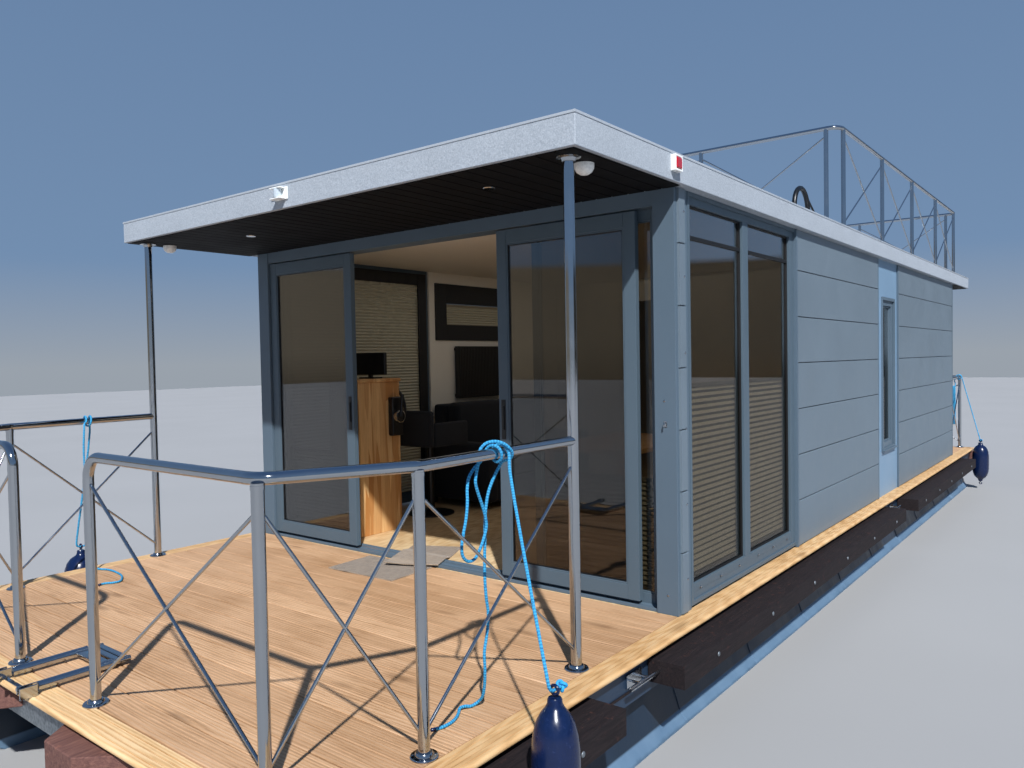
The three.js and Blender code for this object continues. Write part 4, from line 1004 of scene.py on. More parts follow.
def rope(name, route, nodes=()):
    """A free rope: its tube with a map along its lay, and its whipped end."""
    path = smooth_steps(route, 5)
    bm = bmesh.new()
    lay = bm.loops.layers.uv.new("lay")
    tube(bm, path, ROPE * 1.04, 10, lay=lay)
    made = piece(name, bm, "rope", stands_for=nodes, angle=80)
    length = sum((b - a).length for a, b in zip(path, path[1:]))
    knot = stopper_knot(name + "_knot", path[0])
    tip = whipping(name + "_tip", path[-1], path[-1] - path[-2])


def stopper_knot(name, at):
    """A small trefoil of rope at the end that holds the fender."""
    size = 0.0062
    points = []
    for i in range(36):
        t = 2 * math.pi * i / 36
        flat = Vector((0, math.sin(t) + 2 * math.sin(2 * t), math.cos(t) - 2 * math.cos(2 * t)))
        points.append(Vector(at) + flat * size + Vector((-0.007 - 0.006 * math.sin(3 * t), 0, 0)))
    bm = bmesh.new()
    tube(bm, points, ROPE * 0.95, 8, closed=True)
    return piece(name, bm, "rope_knot", angle=80)


def whipping(name, at, aim):
    """Melted and taped end of a rope."""
    bm = bmesh.new()
    profile = [(0, -0.014), (0.0066, -0.014), (0.0070, -0.010), (0.0070, 0.002), (0.005, 0.005), (0, 0.006)]
    lathe(bm, profile, at, aim, 12)
    return piece(name, bm, "navy", angle=50)


def fender(name, body, nodes=()):
    """Inflated fender: one lofted skin with collars, and a thick eye at each end."""
    at, radius, length = body.values()
    neck, eye = FENDER.values()
    bm = bmesh.new()
    half = [
        (0.0, -0.004),
        (neck * 0.86, -0.004),
        (neck, 0.002),
        (neck + 0.001, 0.016),
        (neck + 0.008, 0.030),
        (radius * 0.60, 0.052),
        (radius * 0.80, 0.084),
        (radius * 0.92, 0.124),
        (radius * 0.985, 0.170),
        (radius, 0.215),
    ]
    bottom = -eye - length
    profile = [(r, bottom + h) for r, h in half] + [(r, -eye - h) for r, h in reversed(half)]
    lathe(bm, profile, at, UP, 36)
    for level in (0.0, bottom - eye):
        tube(bm, circle(Vector(at) + UP * level, 0.0155, 28, ACROSS, UP), 0.0058, 10, closed=True)
    return piece(name, bm, "navy", stands_for=nodes, angle=50)


def ropes():
    FINISH["rope_knot"] = moulded("rope_knot", "2a9bd4", 0.7, 0.0012)
    fender("fore_fender_skin", FORE_FENDER, ("fore_fender",))
    fender("aft_fender_skin", AFT_FENDER, ("aft_fender",))
    fender("side_fender_skin", SIDE_FENDER)
    rope("fore_rope_lay", fore_route(), ("fore_rope",))
    rope("aft_rope_lay", aft_route(), ("aft_rope", "aft_hank"))
    rope("side_rope_lay", starboard_route())


# Stage

SUN = Vector((-0.745, -0.740, -1.010))
SKY = [
    (0.0, grey(0.30)),
    (0.5, (0.64, 0.72, 0.82, 1)),
    (0.56, (0.34, 0.54, 0.86, 1)),
    (1.0, (0.15, 0.29, 0.60, 1)),
]
# Screens that stand low round the studio, for the glass and the tubes to mirror: bearing, colour.
SHORES = ((137, (0.085, 0.080, 0.070, 1)), (-40, (0.46, 0.41, 0.33, 1)))
# Where a screen fades out upwards and sideways.
SHORE_TOP = (0.112, 0.120)
SHORE_EDGE = (0.72, 0.84)


def light(kind, name, energy):
    data = bpy.data.lights.new(name, kind)
    data.energy = energy
    made = bpy.data.objects.new(name, data)
    bpy.context.scene.collection.objects.link(made)
    return made


def floor():
    bm = bmesh.new()
    slab(bm, (-60, 60), (-60, 60), (WATERLINE - 0.02, WATERLINE))
    mesh = bpy.data.meshes.new("floor")
    bm.to_mesh(mesh)
    bm.free()
    made = bpy.data.objects.new("floor", mesh)
    paint = Paint("pale_floor")
    cloud = paint.noise(paint.where(), 0.4)
    mesh.materials.append(paint.surface(paint.mix(cloud, grey(0.34), grey(0.38)), 0.9))
    bpy.context.scene.collection.objects.link(made)


def sky():
    """A pale horizon under a blue sky, and the screens, which only mirrors show."""
    world = bpy.data.worlds.new("studio")
    bpy.context.scene.world = world
    world.use_nodes = True
    net = Net(world.node_tree)
    at = net.node("ShaderNodeTexCoord", output="Generated")
    height = net.part(at, 2)
    tone = net.ramp(height * 0.5 + 0.5, SKY)
    hidden = 1.0 - net.node("ShaderNodeLightPath", output="Is Camera Ray")
    low = net.level(height, *SHORE_TOP, 1.0, 0.0) * hidden
    for degrees, colour in SHORES:
        facing = (math.cos(math.radians(degrees)), math.sin(math.radians(degrees)), 0.0)
        near = net.node("ShaderNodeVectorMath", {"operation": "DOT_PRODUCT"}, {0: at, 1: facing}, output=1)
        tone = net.mix(net.level(near, *SHORE_EDGE) * low, tone, colour)
    glow = net.node("ShaderNodeBackground", {}, {"Color": tone, "Strength": 0.50})
    net.node("ShaderNodeOutputWorld", {}, {"Surface": glow})


def stage():
    floor()
    sun = light("SUN", "sun", 5.2)
    sun.data.angle = math.radians(1.2)
    sun.rotation_euler = SUN.to_track_quat("-Z", "Y").to_euler()
    glow = light("AREA", "cabin_glow", 10)
    glow.data.shape = "RECTANGLE"
    glow.data.size, glow.data.size_y = 4.5, 2.6
    glow.location = (1.1, 0, SOFFIT - 0.030)
    sky()
    bpy.context.scene.view_settings.view_transform = "Standard"


# Decks

BOARD = 0.028
BOARD_PITCH = 0.1405
BOARD_GAP = 0.006
BORDER = 0.130
SEAM = 0.003


def grooved(start, width, grooves):
    """Section of a board with fine grooves along its top: across, height."""
    deep, wide, lip = 0.0014, 0.003, 0.003
    end = start + width
    base = DECK - BOARD
    points = [(start, base), (end, base), (end, DECK - lip), (end - lip, DECK)]
    for i in range(grooves, 0, -1):
        middle = start + width * i / (grooves + 1)
        points += [(middle + wide / 2, DECK), (middle + wide / 4, DECK - deep)]
        points += [(middle - wide / 4, DECK - deep), (middle - wide / 2, DECK)]
    return points + [(start + lip, DECK), (start, DECK - lip)]


def deck_boards(name, start, end, node, seed):
    count = round((end - start) / BOARD_PITCH)
    pitch = (end - start) / count
    bm = bmesh.new()
    prism(bm, grooved(start, pitch - BOARD_GAP, 6), "y", (-BOARD_EDGE, BOARD_EDGE))
    row(name, bm, count, (pitch, 0, 0), "deck", seed, 0.0006, slot="deck_board", stands_for=(node,))


def border_section(inner, reach, hand=1):
    """Three strips with grooves between them; the outer edge is a half round."""
    bow = BOARD / 2
    points = []
    for i in range(9):
        angle = -math.pi / 2 + math.pi * i / 8
        points.append((reach - bow + bow * math.cos(angle), DECK - bow + bow * math.sin(angle)))
    width = reach - inner
    for share in (0.80, 0.62, 0.60, 0.42, 0.40, 0.22):
        middle = inner + width * share
        points += [(middle + 0.0025, DECK), (middle + 0.0015, DECK - 0.005)]
        points += [(middle - 0.0015, DECK - 0.005), (middle - 0.0025, DECK)]
    points += [(inner + 0.002, DECK), (inner, DECK - 0.002), (inner, DECK - BOARD)]
    return [(hand * across, height) for across, height in points]


def border():
    fore = BOW - BORDER
    lengths = 3
    step = (fore - STERN) / lengths
    for side, hand in HANDS:
        bm = bmesh.new()
        section = border_section(BOARD_EDGE + SEAM, EDGE, hand)
        prism(bm, section, "x", (STERN, STERN + step - 0.002))
        name = f"border_{side}"
        row(name, bm, lengths, (step, 0, 0), "border", 3, slot="deck_board", stands_for=("edge_boards",))
    bm = bmesh.new()
    prism(bm, border_section(fore + SEAM, BOW), "y", (-EDGE, -0.001))
    row("border_bow", bm, 2, (0, EDGE + 0.001, 0), "border_bow", 4, slot="deck_board")


def cabin_planks():
    count = 20
    x, y, z = limits_of("cabin_floor")
    pitch = (y[1] - y[0]) / count
    bm = bmesh.new()
    slab(bm, x, (y[0], y[0] + pitch - 0.001), z, 0.001, 1)
    row("floor_planks", bm, count, (0, pitch, 0), "floor", 5, slot="oak_floor", stands_for=("cabin_floor",))


def decks():
    deck_boards("fore_boards", FRONT + 0.002, BOW - BORDER, "fore_deck", 11)
    deck_boards("aft_boards", STERN, AFT - 0.002, "aft_deck", 12)
    border()
    cabin_planks()


# Hull

# The three lengths of side timber: their aft and fore ends.
TIMBERS = ((4.660, 5.995), (-0.545, 4.115), (-4.750, -1.085))
TIMBER_Z = (0.785, 0.900)
BOLT_PITCH = 0.75
TIMBER_WIDE = (FRAME_HALF + 0.0043, FRAME_HALF + 0.200)


def beam(bm, plan, z):
    """A timber on its plan, with worn edges."""
    made = prism(bm, plan, "z", z)
    ease(bm, list({edge for face in made for edge in face.edges}), 0.005, profile=0.6)


def side_timbers(side, hand):
    """Timbers bolted along the deck frame, and the strip of steel that they stand on."""
    bm = bmesh.new()
    inner, outer = TIMBER_WIDE
    for aft, fore in TIMBERS:
        plan = [(aft, inner), (fore, inner), (fore, outer), (aft, outer)]
        beam(bm, [(x, hand * y) for x, y in plan], TIMBER_Z)
    strip = span(hand * (FRAME_HALF + 0.0033), 0.003)
    slab(bm, (TIMBERS[2][0] + 0.020, TIMBERS[0][1] - 0.020), strip, (0.789, 0.799))
    piece(f"side_timbers_{side}", bm, "timber", stands_for=(f"rub_rail_{side}",))


def timber_bolts(side, hand):
    """Bolt heads along each timber, evenly spread."""
    rows = []
    for aft, fore in TIMBERS:
        count = max(2, round((fore - aft) / BOLT_PITCH))
        for i in range(count):
            x = aft + (fore - aft) * (i + 0.5) / count
            rows.append(((x, hand * (TIMBER_WIDE[1] + 0.0005), sum(TIMBER_Z) / 2), (0, hand, 0)))
    studs(f"timber_bolts_{side}", rows, 0.013, "zinc", rise=0.45)


def weld_seams(side, hand):
    """Beads down the hull plates, a metre apart."""
    plate = ((1.9152, 0.30), (1.9152, 0.402), (1.8705, CHINE), (1.782, 0.729))
    bm = bmesh.new()
    tube(bm, [(-5.35, hand * y, z) for y, z in plate], 0.0045, 8)
    row(f"weld_seams_{side}", bm, 11, (1.0, 0, 0), "hull", 6, slot="hull_paint")
    bm = bmesh.new()
    slab(bm, (-5.4, 5.35), (hand * 1.9145, hand * 1.9195), span(WATERLINE, 0.005), 0.002)
    piece(f"chine_bead_{side}", bm, "hull")


def hull():
    for side, hand in HANDS:
        side_timbers(side, hand)
        timber_bolts(side, hand)
        weld_seams(side, hand)
        dress(f"pontoon_{side}", "hull")
        refine(f"bow_block_{side}", "block", bevel=0.006)
        refine(f"stern_timber_{side}", "block", bevel=0.006)
    dress("deck_frame", "plated")


# Rails

def steel_piece(name, bm, node, body="hull"):
    """Polished tubes that stand for a solid."""
    piece(name, bm, "steel", body, (node,), 40)


def flange(bm, x, y, z, radius=0.052, tall=0.020):
    """Two-step foot plate with a domed collar."""
    profile = [
        (0, FOOT),
        (radius, FOOT),
        (radius, 0.004),
        (radius - 0.003, FOOT_TOP),
        (radius * 0.72, 0.009),
        (radius * 0.66, 0.0095),
        (radius * 0.64, 0.014),
        (radius * 0.56, tall),
        (0, tall),
    ]
    lathe(bm, profile, (x, y, z), UP, 32)


def cross(bm, a, b, low, high):
    """Two crossed rods with narrowed ends between two posts."""
    first, second = Vector(a), Vector(b)
    aim = (second - first).normalized()
    off_post = 0.012
    neck, rod = 0.0055, 0.007
    spots = (0, 0.006, 0.014, 0.986, 0.994, 1)
    for start, end in ((low, high), (high, low)):
        from_point = first + aim * off_post + UP * start
        run = second - aim * off_post + UP * end - from_point
        tube(bm, [from_point + run * spot for spot in spots], (neck, neck, rod, rod, neck, neck), 10)


FOOT_TOP = 0.0075
CROSS_LOW = 0.090
CROSS_HIGH = 0.110
ROOF_POST = {"tube": 0.025, "foot": 0.056}


def bow_rail(side, hand):
    """Rail from the gate round the corner to the roof post, its rods and its foot plates."""
    gate, corner, side_post = ((6.020, 0.390), (6.020, 1.580), (5.530, RAIL_HALF))
    roof_post = (4.553, RAIL_HALF if hand > 0 else 1.890)
    top = FORE_TOP

    def at(point, z):
        return (point[0], hand * point[1], z)

    bm = bmesh.new()
    path = [at(gate, DECK + 0.001), at(gate, top), at(corner, top), at(side_post, top), at(roof_post, top)]
    tube(bm, rounded(path, 0.095, 10), TUBE, 24)
    for post in (corner, side_post):
        tube(bm, [at(post, DECK + 0.001), at(post, top - 0.012)], TUBE, 24)
    for post in (gate, corner, side_post):
        flange(bm, *at(post, DECK))
        if post != gate:
            tube(bm, [at(post, top - 0.034), at(post, top - 0.020)], 0.0235, 24)
    posts = [at(post, 0) for post in (gate, corner, side_post, roof_post)]
    for a, b in zip(posts, posts[1:]):
        cross(bm, a, b, DECK + CROSS_LOW, top - CROSS_HIGH)
    tube(bm, [at(roof_post, DECK + 0.001), at(roof_post, SOFFIT - 0.001)], ROOF_POST["tube"], 28)
    flange(bm, *at(roof_post, DECK), ROOF_POST["foot"])
    wide = ROOF_POST["foot"]
    cap = [(0, 0.0), (wide, 0.0), (wide, -0.006), (0.036, -0.010), (0.030, -0.024), (0, -0.024)]
    lathe(bm, cap, at(roof_post, SOFFIT - SOFFIT_BOARD))
    steel_piece(f"bow_rail_{side}_tubes", bm, f"bow_rail_{side}")
    rows = []
    for post, size in ((gate, 0.040), (corner, 0.040), (side_post, 0.040), (roof_post, 0.044)):
        spots = circle(at(post, DECK + FOOT_TOP), size / 2 ** 0.5, 4, ALONG + ACROSS, ACROSS - ALONG)
        rows += [(spot, UP) for spot in spots]
    studs(f"foot_screws_{side}", rows, 0.0055)


def stern_rail(side, hand):
    """Rail from the wall round the corner to the gate, with a square outer corner."""
    wall, corner, gate = ((AFT - 0.140, RAIL_HALF), (STERN_POST, RAIL_HALF), (STERN_POST, 0.620))
    top = AFT_TOP

    def at(point, z):
        return (point[0], hand * point[1], z)

    bm = bmesh.new()
    path = [at(wall, DECK + 0.001), at(wall, top), at(corner, top), at(gate, top), at(gate, DECK + 0.001)]
    start = rounded([*path[:2], path[2]], 0.080, 8)[:-1]
    end = rounded(path[2:], 0.080, 8)[1:]
    tube(bm, [*start, path[2], *end], TUBE, 24)
    tube(bm, [at(corner, DECK + 0.001), at(corner, top)], TUBE, 24)
    posts = [at(post, 0) for post in (wall, corner, gate)]
    for post in (wall, corner, gate):
        flange(bm, *at(post, DECK))
    for a, b in zip(posts, posts[1:]):
        cross(bm, a, b, DECK + CROSS_LOW, top - CROSS_HIGH)
    steel_piece(f"stern_rail_{side}_tubes", bm, f"stern_rail_{side}")


TERRACE = {"fore": 0.555, "aft": -4.905, "half": 1.855, "corner": 0.100, "tube": 0.019}
TERRACE_SIDE = (0.451, -0.873, -2.205, -3.535, -4.801)
TERRACE_END = (-1.745, -0.620, 0.620, 1.745)


def terrace_rail():
    """Closed top rail on posts, with crossed rods between them."""
    fore, aft, half, corner, size = TERRACE.values()
    top = ROOF + 0.848
    middle = (fore + aft) / 2
    corners = [(middle, half), (aft, half), (aft, -half), (fore, -half), (fore, half), (middle, half)]
    bm = bmesh.new()
    tube(bm, rounded([(x, y, top) for x, y in corners], corner, 8)[:-1], size, 20, closed=True)
    stands = [[(x, y, 0) for x in TERRACE_SIDE] for y in (-half, half)]
    stands += [[(x, y, 0) for y in TERRACE_END] for x in (fore, aft)]
    for posts in stands:
        for x, y, _ in posts:
            tube(bm, [(x, y, ROOF + 0.001), (x, y, top - 0.008)], size, 20)
            flange(bm, x, y, ROOF, 0.046, 0.018)
        for a, b in zip(posts, posts[1:]):
            cross(bm, a, b, ROOF + 0.060, top - 0.070)
    steel_piece("terrace_tubes", bm, "roof_rail")


LADDER = {"y": (-0.206, 0.066), "rail_z": DECK + 0.030, "end": BOW - 0.370, "radius": 0.020, "inner": 0.013}
LADDER_PIVOT = (BOW + 0.024, DECK + 0.038)


def ladder_step(bm, x, margin):
    """A flat step with rounded edges."""
    y, z = LADDER["y"], LADDER["rail_z"]
    slab(bm, x, inset(y, margin), span(z, 0.009), 0.005, 3)


def ladder():
    rails_y, rail_z, end, radius, inner = LADDER.values()
    pivot_x, pivot_z = LADDER_PIVOT
    bm = bmesh.new()
    for y in rails_y:
        tube(bm, [(BOW - 0.045, y, rail_z), (end, y, rail_z)], radius, 20)
        tube(bm, [(end + 0.006, y, rail_z), (end - 0.001, y, rail_z)], radius + 0.0015, 20)
        slab(bm, (BOW - 0.060, pivot_x + 0.012), span(y, 0.004), (rail_z - 0.012, pivot_z + 0.012), 0.002)
        bush = [(0, -0.010), (0.013, -0.010), (0.013, 0.010), (0, 0.010)]
        lathe(bm, bush, (pivot_x, y, pivot_z), ACROSS, 20)
    ladder_step(bm, (end + 0.008, end + 0.058), radius - 0.002)
    steel_piece("ladder_upper_tubes", bm, "ladder_upper", "ladder")
    bm = bmesh.new()
    for y in rails_y:
        tube(bm, [(end + 0.268, y, rail_z), (end - 0.076, y, rail_z)], inner, 16)
    for x in ((end - 0.076, end - 0.044), (end - 0.038, end - 0.006)):
        ladder_step(bm, x, 0)
    steel_piece("ladder_lower_tubes", bm, "ladder_lower", "ladder_extension")
    refine("ladder_bracket", "steel", bevel=0.0015)


def rails():
    for side, hand in HANDS:
        bow_rail(side, hand)
        stern_rail(side, hand)
    terrace_rail()
    ladder()


# Roof

def roof_trim():
    """A metal edge round the top of the roof."""
    edge, reach = 0.030, 0.003
    up = (ROOF - 0.009, ROOF + reach)
    bm = bmesh.new()
    for y in ROOF_SIDES:
        sign = math.copysign(1, y)
        slab(bm, (ROOF_AFT - reach, ROOF_FRONT + reach), (y - sign * edge, y + sign * reach), up, 0.001)
    for x in (ROOF_AFT, ROOF_FRONT):
        sign = math.copysign(1, x)
        slab(bm, (x - sign * edge, x + sign * reach), inset(ROOF_SIDES, edge), up, 0.001)
    piece("roof_trim", bm, "trim")


def soffit(name, ends):
    """Boards under the roof overhang, and a sheet behind their gaps."""
    count = 38
    start, end = inset(ROOF_SIDES, 0.020)
    pitch = (end - start) / count
    bm = bmesh.new()
    slab(bm, ends, (start, start + pitch - 0.008), (SOFFIT - SOFFIT_BOARD, SOFFIT - 0.0005), 0.0012, 1)
    row(f"soffit_{name}", bm, count, (0, pitch, 0), "soffit", 7, slot="black_plastic")
    bm = bmesh.new()
    slab(bm, ends, (start, end), (SOFFIT - 0.0012, SOFFIT - 0.0004))
    piece(f"soffit_backing_{name}", bm, "soffit")


def roof():
    refine("roof", "roof", bevel=0.005)
    roof_trim()
    soffit("fore", (FRONT + 0.003, ROOF_FRONT - 0.020))
    soffit("aft", (ROOF_AFT + 0.020, AFT - 0.003))
    bm = bmesh.new()
    across = span(0, WALL_IN - 0.001)
    slab(bm, (AFT + 0.095, FRONT - 0.165), across, (SOFFIT - 0.004, SOFFIT - 0.0005))
    piece("ceiling", bm, "cream")


# Walls

SIDING = 0.014
COURSES = 6
COURSE = 0.3333
GROOVE = 0.006
FIRST = DECK + 0.008
WALL_TOP = SOFFIT - 0.002
PANEL = (-1.401, -0.583)
WINDOW_AFT = 1.735
# Where the wall's inner paint ends, across the boat and from the aft face.
INNER_HALF = 1.825
INNER_AFT = 0.040


def wall_paint():
    """Cream inside, siding colour outside the middle of the wall."""
    paint = Paint("wall_paint")
    outside = paint.maths("ABSOLUTE", paint.part(paint.where(), 1)) > INNER_HALF
    astern = paint.part(paint.where(), 0) < AFT + INNER_AFT
    cloud = paint.noise(paint.where(), 2.0, 4.0)
    cream = paint.mix(cloud, rgb("e2dbcb"), rgb("ebe5d8"))
    dark = paint.mix(cloud, rgb("333c45"), rgb("3c4650"))
    return paint.surface(paint.mix(paint.maths("MAXIMUM", outside, astern), cream, dark), 0.6)


def course(axis, limits, face, bottom, top, sign):
    """One siding board: eased edges, a flat face."""
    lip = 0.003
    outer = face + sign * SIDING
    section = [
        (face, bottom),
        (outer - sign * lip, bottom),
        (outer, bottom + lip),
        (outer, top - lip),
        (outer - sign * lip, top),
        (face, top),
    ]
    bm = bmesh.new()
    prism(bm, section, axis, limits)
    return bm


def siding(name, axis, limits, face, sign, first=0, last=COURSES):
    """Rows of boards from one course to another, and the cut course on top."""
    start = FIRST + first * COURSE
    bm = course(axis, limits, face, start, start + COURSE - GROOVE, sign)
    row(name, bm, last - first, (0, 0, COURSE), "siding", 8, slot="siding")
    if last == COURSES:
        bm = course(axis, limits, face, FIRST + COURSES * COURSE, WALL_TOP, sign)
        piece(name + "_top", bm, "siding")


def corner_strips(side, hand):
    """Short ends of siding between the corner post and the window."""
    siding(f"corner_siding_{side}", "x", (FRONT - 0.100, FRONT - 0.030), hand * SIDE, hand)


def walls():
    FINISH["wall"] = wall_paint()
    for node in ("port_wall_fore", "port_wall_aft", "starboard_wall", "aft_wall"):
        dress(node, "wall")
    dress("partition", "cream")
    dress("port_panel", "panel")
    siding("siding_port_fore", "x", (PANEL[1] + 0.012, WINDOW_AFT - 0.004), SIDE, 1)
    siding("siding_port_aft", "x", (AFT + 0.020, PANEL[0] - 0.012), SIDE, 1)
    starboard_siding()
    aft_siding()
    for side, hand in HANDS:
        corner_strips(side, hand)
    panel_trim()


def starboard_siding():
    """Full boards up to the high window, and shorter ones round it."""
    under = 4
    aft, fore = AFT + 0.020, WINDOW_AFT - 0.004
    x, _, z = limits_of("high_window")
    hole, z = inset(x, -0.004), inset(z, -0.004)
    siding("siding_starboard", "x", (aft, fore), -SIDE, -1, 0, under)
    siding("siding_starboard_mid", "x", (aft, hole[0]), -SIDE, -1, under)
    siding("siding_starboard_fore", "x", (hole[1], fore), -SIDE, -1, under)
    for name, bottom, top in (("sill", FIRST + under * COURSE, z[0]), ("head", z[1], WALL_TOP)):
        bm = course("x", inset(x, -0.002), -SIDE, bottom, top, -1)
        piece(f"siding_window_{name}", bm, "siding")


def aft_siding():
    """Siding beside and over the aft door, and a post up each corner."""
    door = 0.392
    for side, hand in HANDS:
        siding(f"siding_aft_{side}", "y", sorted((hand * door, hand * (SIDE + 0.012))), AFT, -1)
    bm = course("y", span(0, door - 0.002), AFT, DECK + 2.068, WALL_TOP, -1)
    piece("siding_over_door", bm, "siding")
    for side, hand in HANDS:
        bm = bmesh.new()
        y = hand * (SIDE + 0.001)
        slab(bm, (AFT - 0.016, AFT + 0.020), (y, y + hand * 0.016), (DECK + 0.004, SOFFIT - 0.001), 0.002)
        piece(f"aft_corner_{side}", bm, "frame")


def panel_trim():
    """Slim strips up both edges of the narrow panel, and the one beside the corner window."""
    up = (DECK + 0.004, WALL_TOP)
    bm = bmesh.new()
    for edge in (PANEL[0] - 0.001, PANEL[1] + 0.001):
        slab(bm, span(edge, 0.011), off_side(1, 0.001, 0.016), up, 0.002)
    slab(bm, (WINDOW_AFT - 0.004, WINDOW_AFT + 0.020), off_side(1, -0.010, 0.018), up, 0.002)
    piece("port_trim", bm, "post")


# Windows and doors

PANE_HALF = 0.003


def pane(name, finish, x, y, z, body="hull"):
    """A sheet of glass."""
    bm = bmesh.new()
    slab(bm, x, y, z)
    piece(name, bm, finish, body)


def side_pane(name, hand, across, up):
    pane(name, "side_glass", across, span(hand * (SIDE - 0.038), PANE_HALF), up)


def sash(bm, axis, depth, across, up, wide):
    """A slimmer frame inside an opening."""
    frame_bars(bm, axis, depth, across, up, wide, wide, 0.0015)


def corner_window(side, hand):
    """Outer frame, mullion, a high head rail, and one pane a side with a thin bar across it."""
    node = f"corner_window_{side}"
    x, _, z = limits_of(node)
    depth = off_side(hand, -0.070, -0.008)
    bar = off_side(hand, -0.046, -0.024)
    framed = inset(x, 0.055, 0)
    ends = inset(framed, 0.045)
    mullion = (2.602, 2.690)
    glazed = (1.090, z[1] - 0.065)
    bm = bmesh.new()
    slab(bm, (x[0], framed[0]), depth, z, 0.002)
    frame_bars(bm, "y", depth, framed, z, 0.045, 0.065)
    slab(bm, ends, depth, (z[0] + 0.060, glazed[0]), 0.002)
    slab(bm, mullion, depth, glazed, 0.002)
    frame_bars(bm, "y", off_side(hand, -0.008, 0.004), inset(x, -0.006), z, 0.024, 0.024, 0.001)
    piece(node + "_frame", bm, "frame", stands_for=(node,))
    openings = ((ends[0], mullion[0]), (mullion[1], ends[1]))
    bm = bmesh.new()
    for across in openings:
        sash(bm, "y", bar, across, glazed, 0.009)
        slab(bm, inset(across, 0.008), bar, span(3.020, 0.011), 0.002)
    piece(node + "_gasket", bm, "gasket")
    for number, across in enumerate(openings):
        side_pane(f"corner_pane_{side}_{number}", hand, inset(across, 0.004), inset(glazed, 0.004))


def frame_bolts():
    """Cap screws round the port corner window, and screws and a hook on the corner post."""
    rail = (3.368, 3.085, 2.804, 2.487, 2.216, 1.945)
    strip = (1.150, 1.560, 1.970, 2.380, 2.790, 3.140)
    post = ((1.800, 2.122), (1.809, 1.067))
    rows = [((x, SIDE + 0.0005, 1.060), ACROSS) for x in rail]
    rows += [((3.560, SIDE + 0.0145, z), ACROSS) for z in strip]
    rows += [((FRONT + 0.0005, y, z), ALONG) for y, z in post]
    studs("window_screws", rows, 0.0070)
    y, z, reach = (1.806, 1.998, FRONT + 0.022)
    bm = bmesh.new()
    slab(bm, (FRONT, FRONT + 0.004), span(y, 0.010), span(z, 0.016), 0.0015)
    arm = [(FRONT, y, z + 0.006), (reach, y, z + 0.006), (reach, y, z - 0.014)]
    tube(bm, rounded(arm, 0.008, 4), 0.004, 10)
    piece("post_hook", bm, "steel", angle=40)


def small_window(name, node, hand, width, finish="frame"):
    """A frame with a lip outside, a sash, a pane and a sill."""
    x, _, z = limits_of(node)
    opening = (inset(x, width), inset(z, width))
    bm = bmesh.new()
    frame_bars(bm, "y", off_side(hand, -0.070, -0.006), x, z, width, width)
    lip = off_side(hand, -0.006, 0.014)
    frame_bars(bm, "y", lip, inset(x, -0.010), inset(z, -0.010), 0.030, 0.030)
    sash(bm, "y", off_side(hand, -0.056, -0.024), *opening, 0.014)
    slab(bm, inset(x, -0.014), off_side(hand, 0.012, 0.034), (z[0] - 0.012, z[0] + 0.004), 0.003)
    piece(f"{name}_frame", bm, finish, stands_for=(node,))
    side_pane(f"{name}_pane", hand, *[inset(limits, 0.008) for limits in opening])


def front_pane(side):
    """A fixed pane beside the doorway."""
    node = f"fixed_pane_{side}"
    x, y, z = limits_of(node)
    opening = (inset(y, 0.050), inset(z, 0.060))
    bm = bmesh.new()
    frame_bars(bm, "x", x, y, z, 0.050, 0.060)
    sash(bm, "x", inset(x, 0.008), *opening, 0.008)
    piece(node + "_frame", bm, "frame", stands_for=(node,))
    pane(f"fixed_glass_{side}", "glass", span(sum(x) / 2, PANE_HALF), *opening)


# Widths of a sliding leaf's upright and level members.
STILE = 0.075
LEAF_RAIL = 0.085
# The high window's trim inside, at its aft and fore end, and the light between sill and head.
HIGH_TRIM = (0.085, 0.155)
HIGH_LIGHT = (2.741, 2.949)


def leaf(side, hand):
    """A sliding leaf with its inner beads and its flush handle."""
    node = f"door_leaf_{side}"
    body = f"leaf_{side}"
    _, y, z = limits_of(node)
    depth = (FRONT - 0.060, FRONT - 0.020)
    opening = (inset(y, STILE), inset(z, LEAF_RAIL))
    bm = bmesh.new()
    frame_bars(bm, "x", depth, y, z, STILE, LEAF_RAIL, 0.003)
    sash(bm, "x", inset(depth, 0.004), *opening, 0.010)
    piece(f"{node}_frame", bm, "frame", body, (node,))
    bm = bmesh.new()
    sash(bm, "x", inset(depth, 0.010), *[inset(limits, 0.009) for limits in opening], 0.006)
    edge = y[0] + 0.037 if hand > 0 else y[1] - 0.037
    plate, grip = (DECK + 0.900, DECK + 1.150), (DECK + 0.960, DECK + 1.110)
    slab(bm, (depth[1] - 0.001, depth[1] + 0.004), span(edge, 0.016), plate, 0.002)
    slab(bm, (depth[1] + 0.002, depth[1] + 0.012), span(edge, 0.008), grip, 0.003)
    piece(f"{node}_trim", bm, "black", body)
    pane(f"{node}_glass", "glass", span(sum(depth) / 2, PANE_HALF), *opening, body)


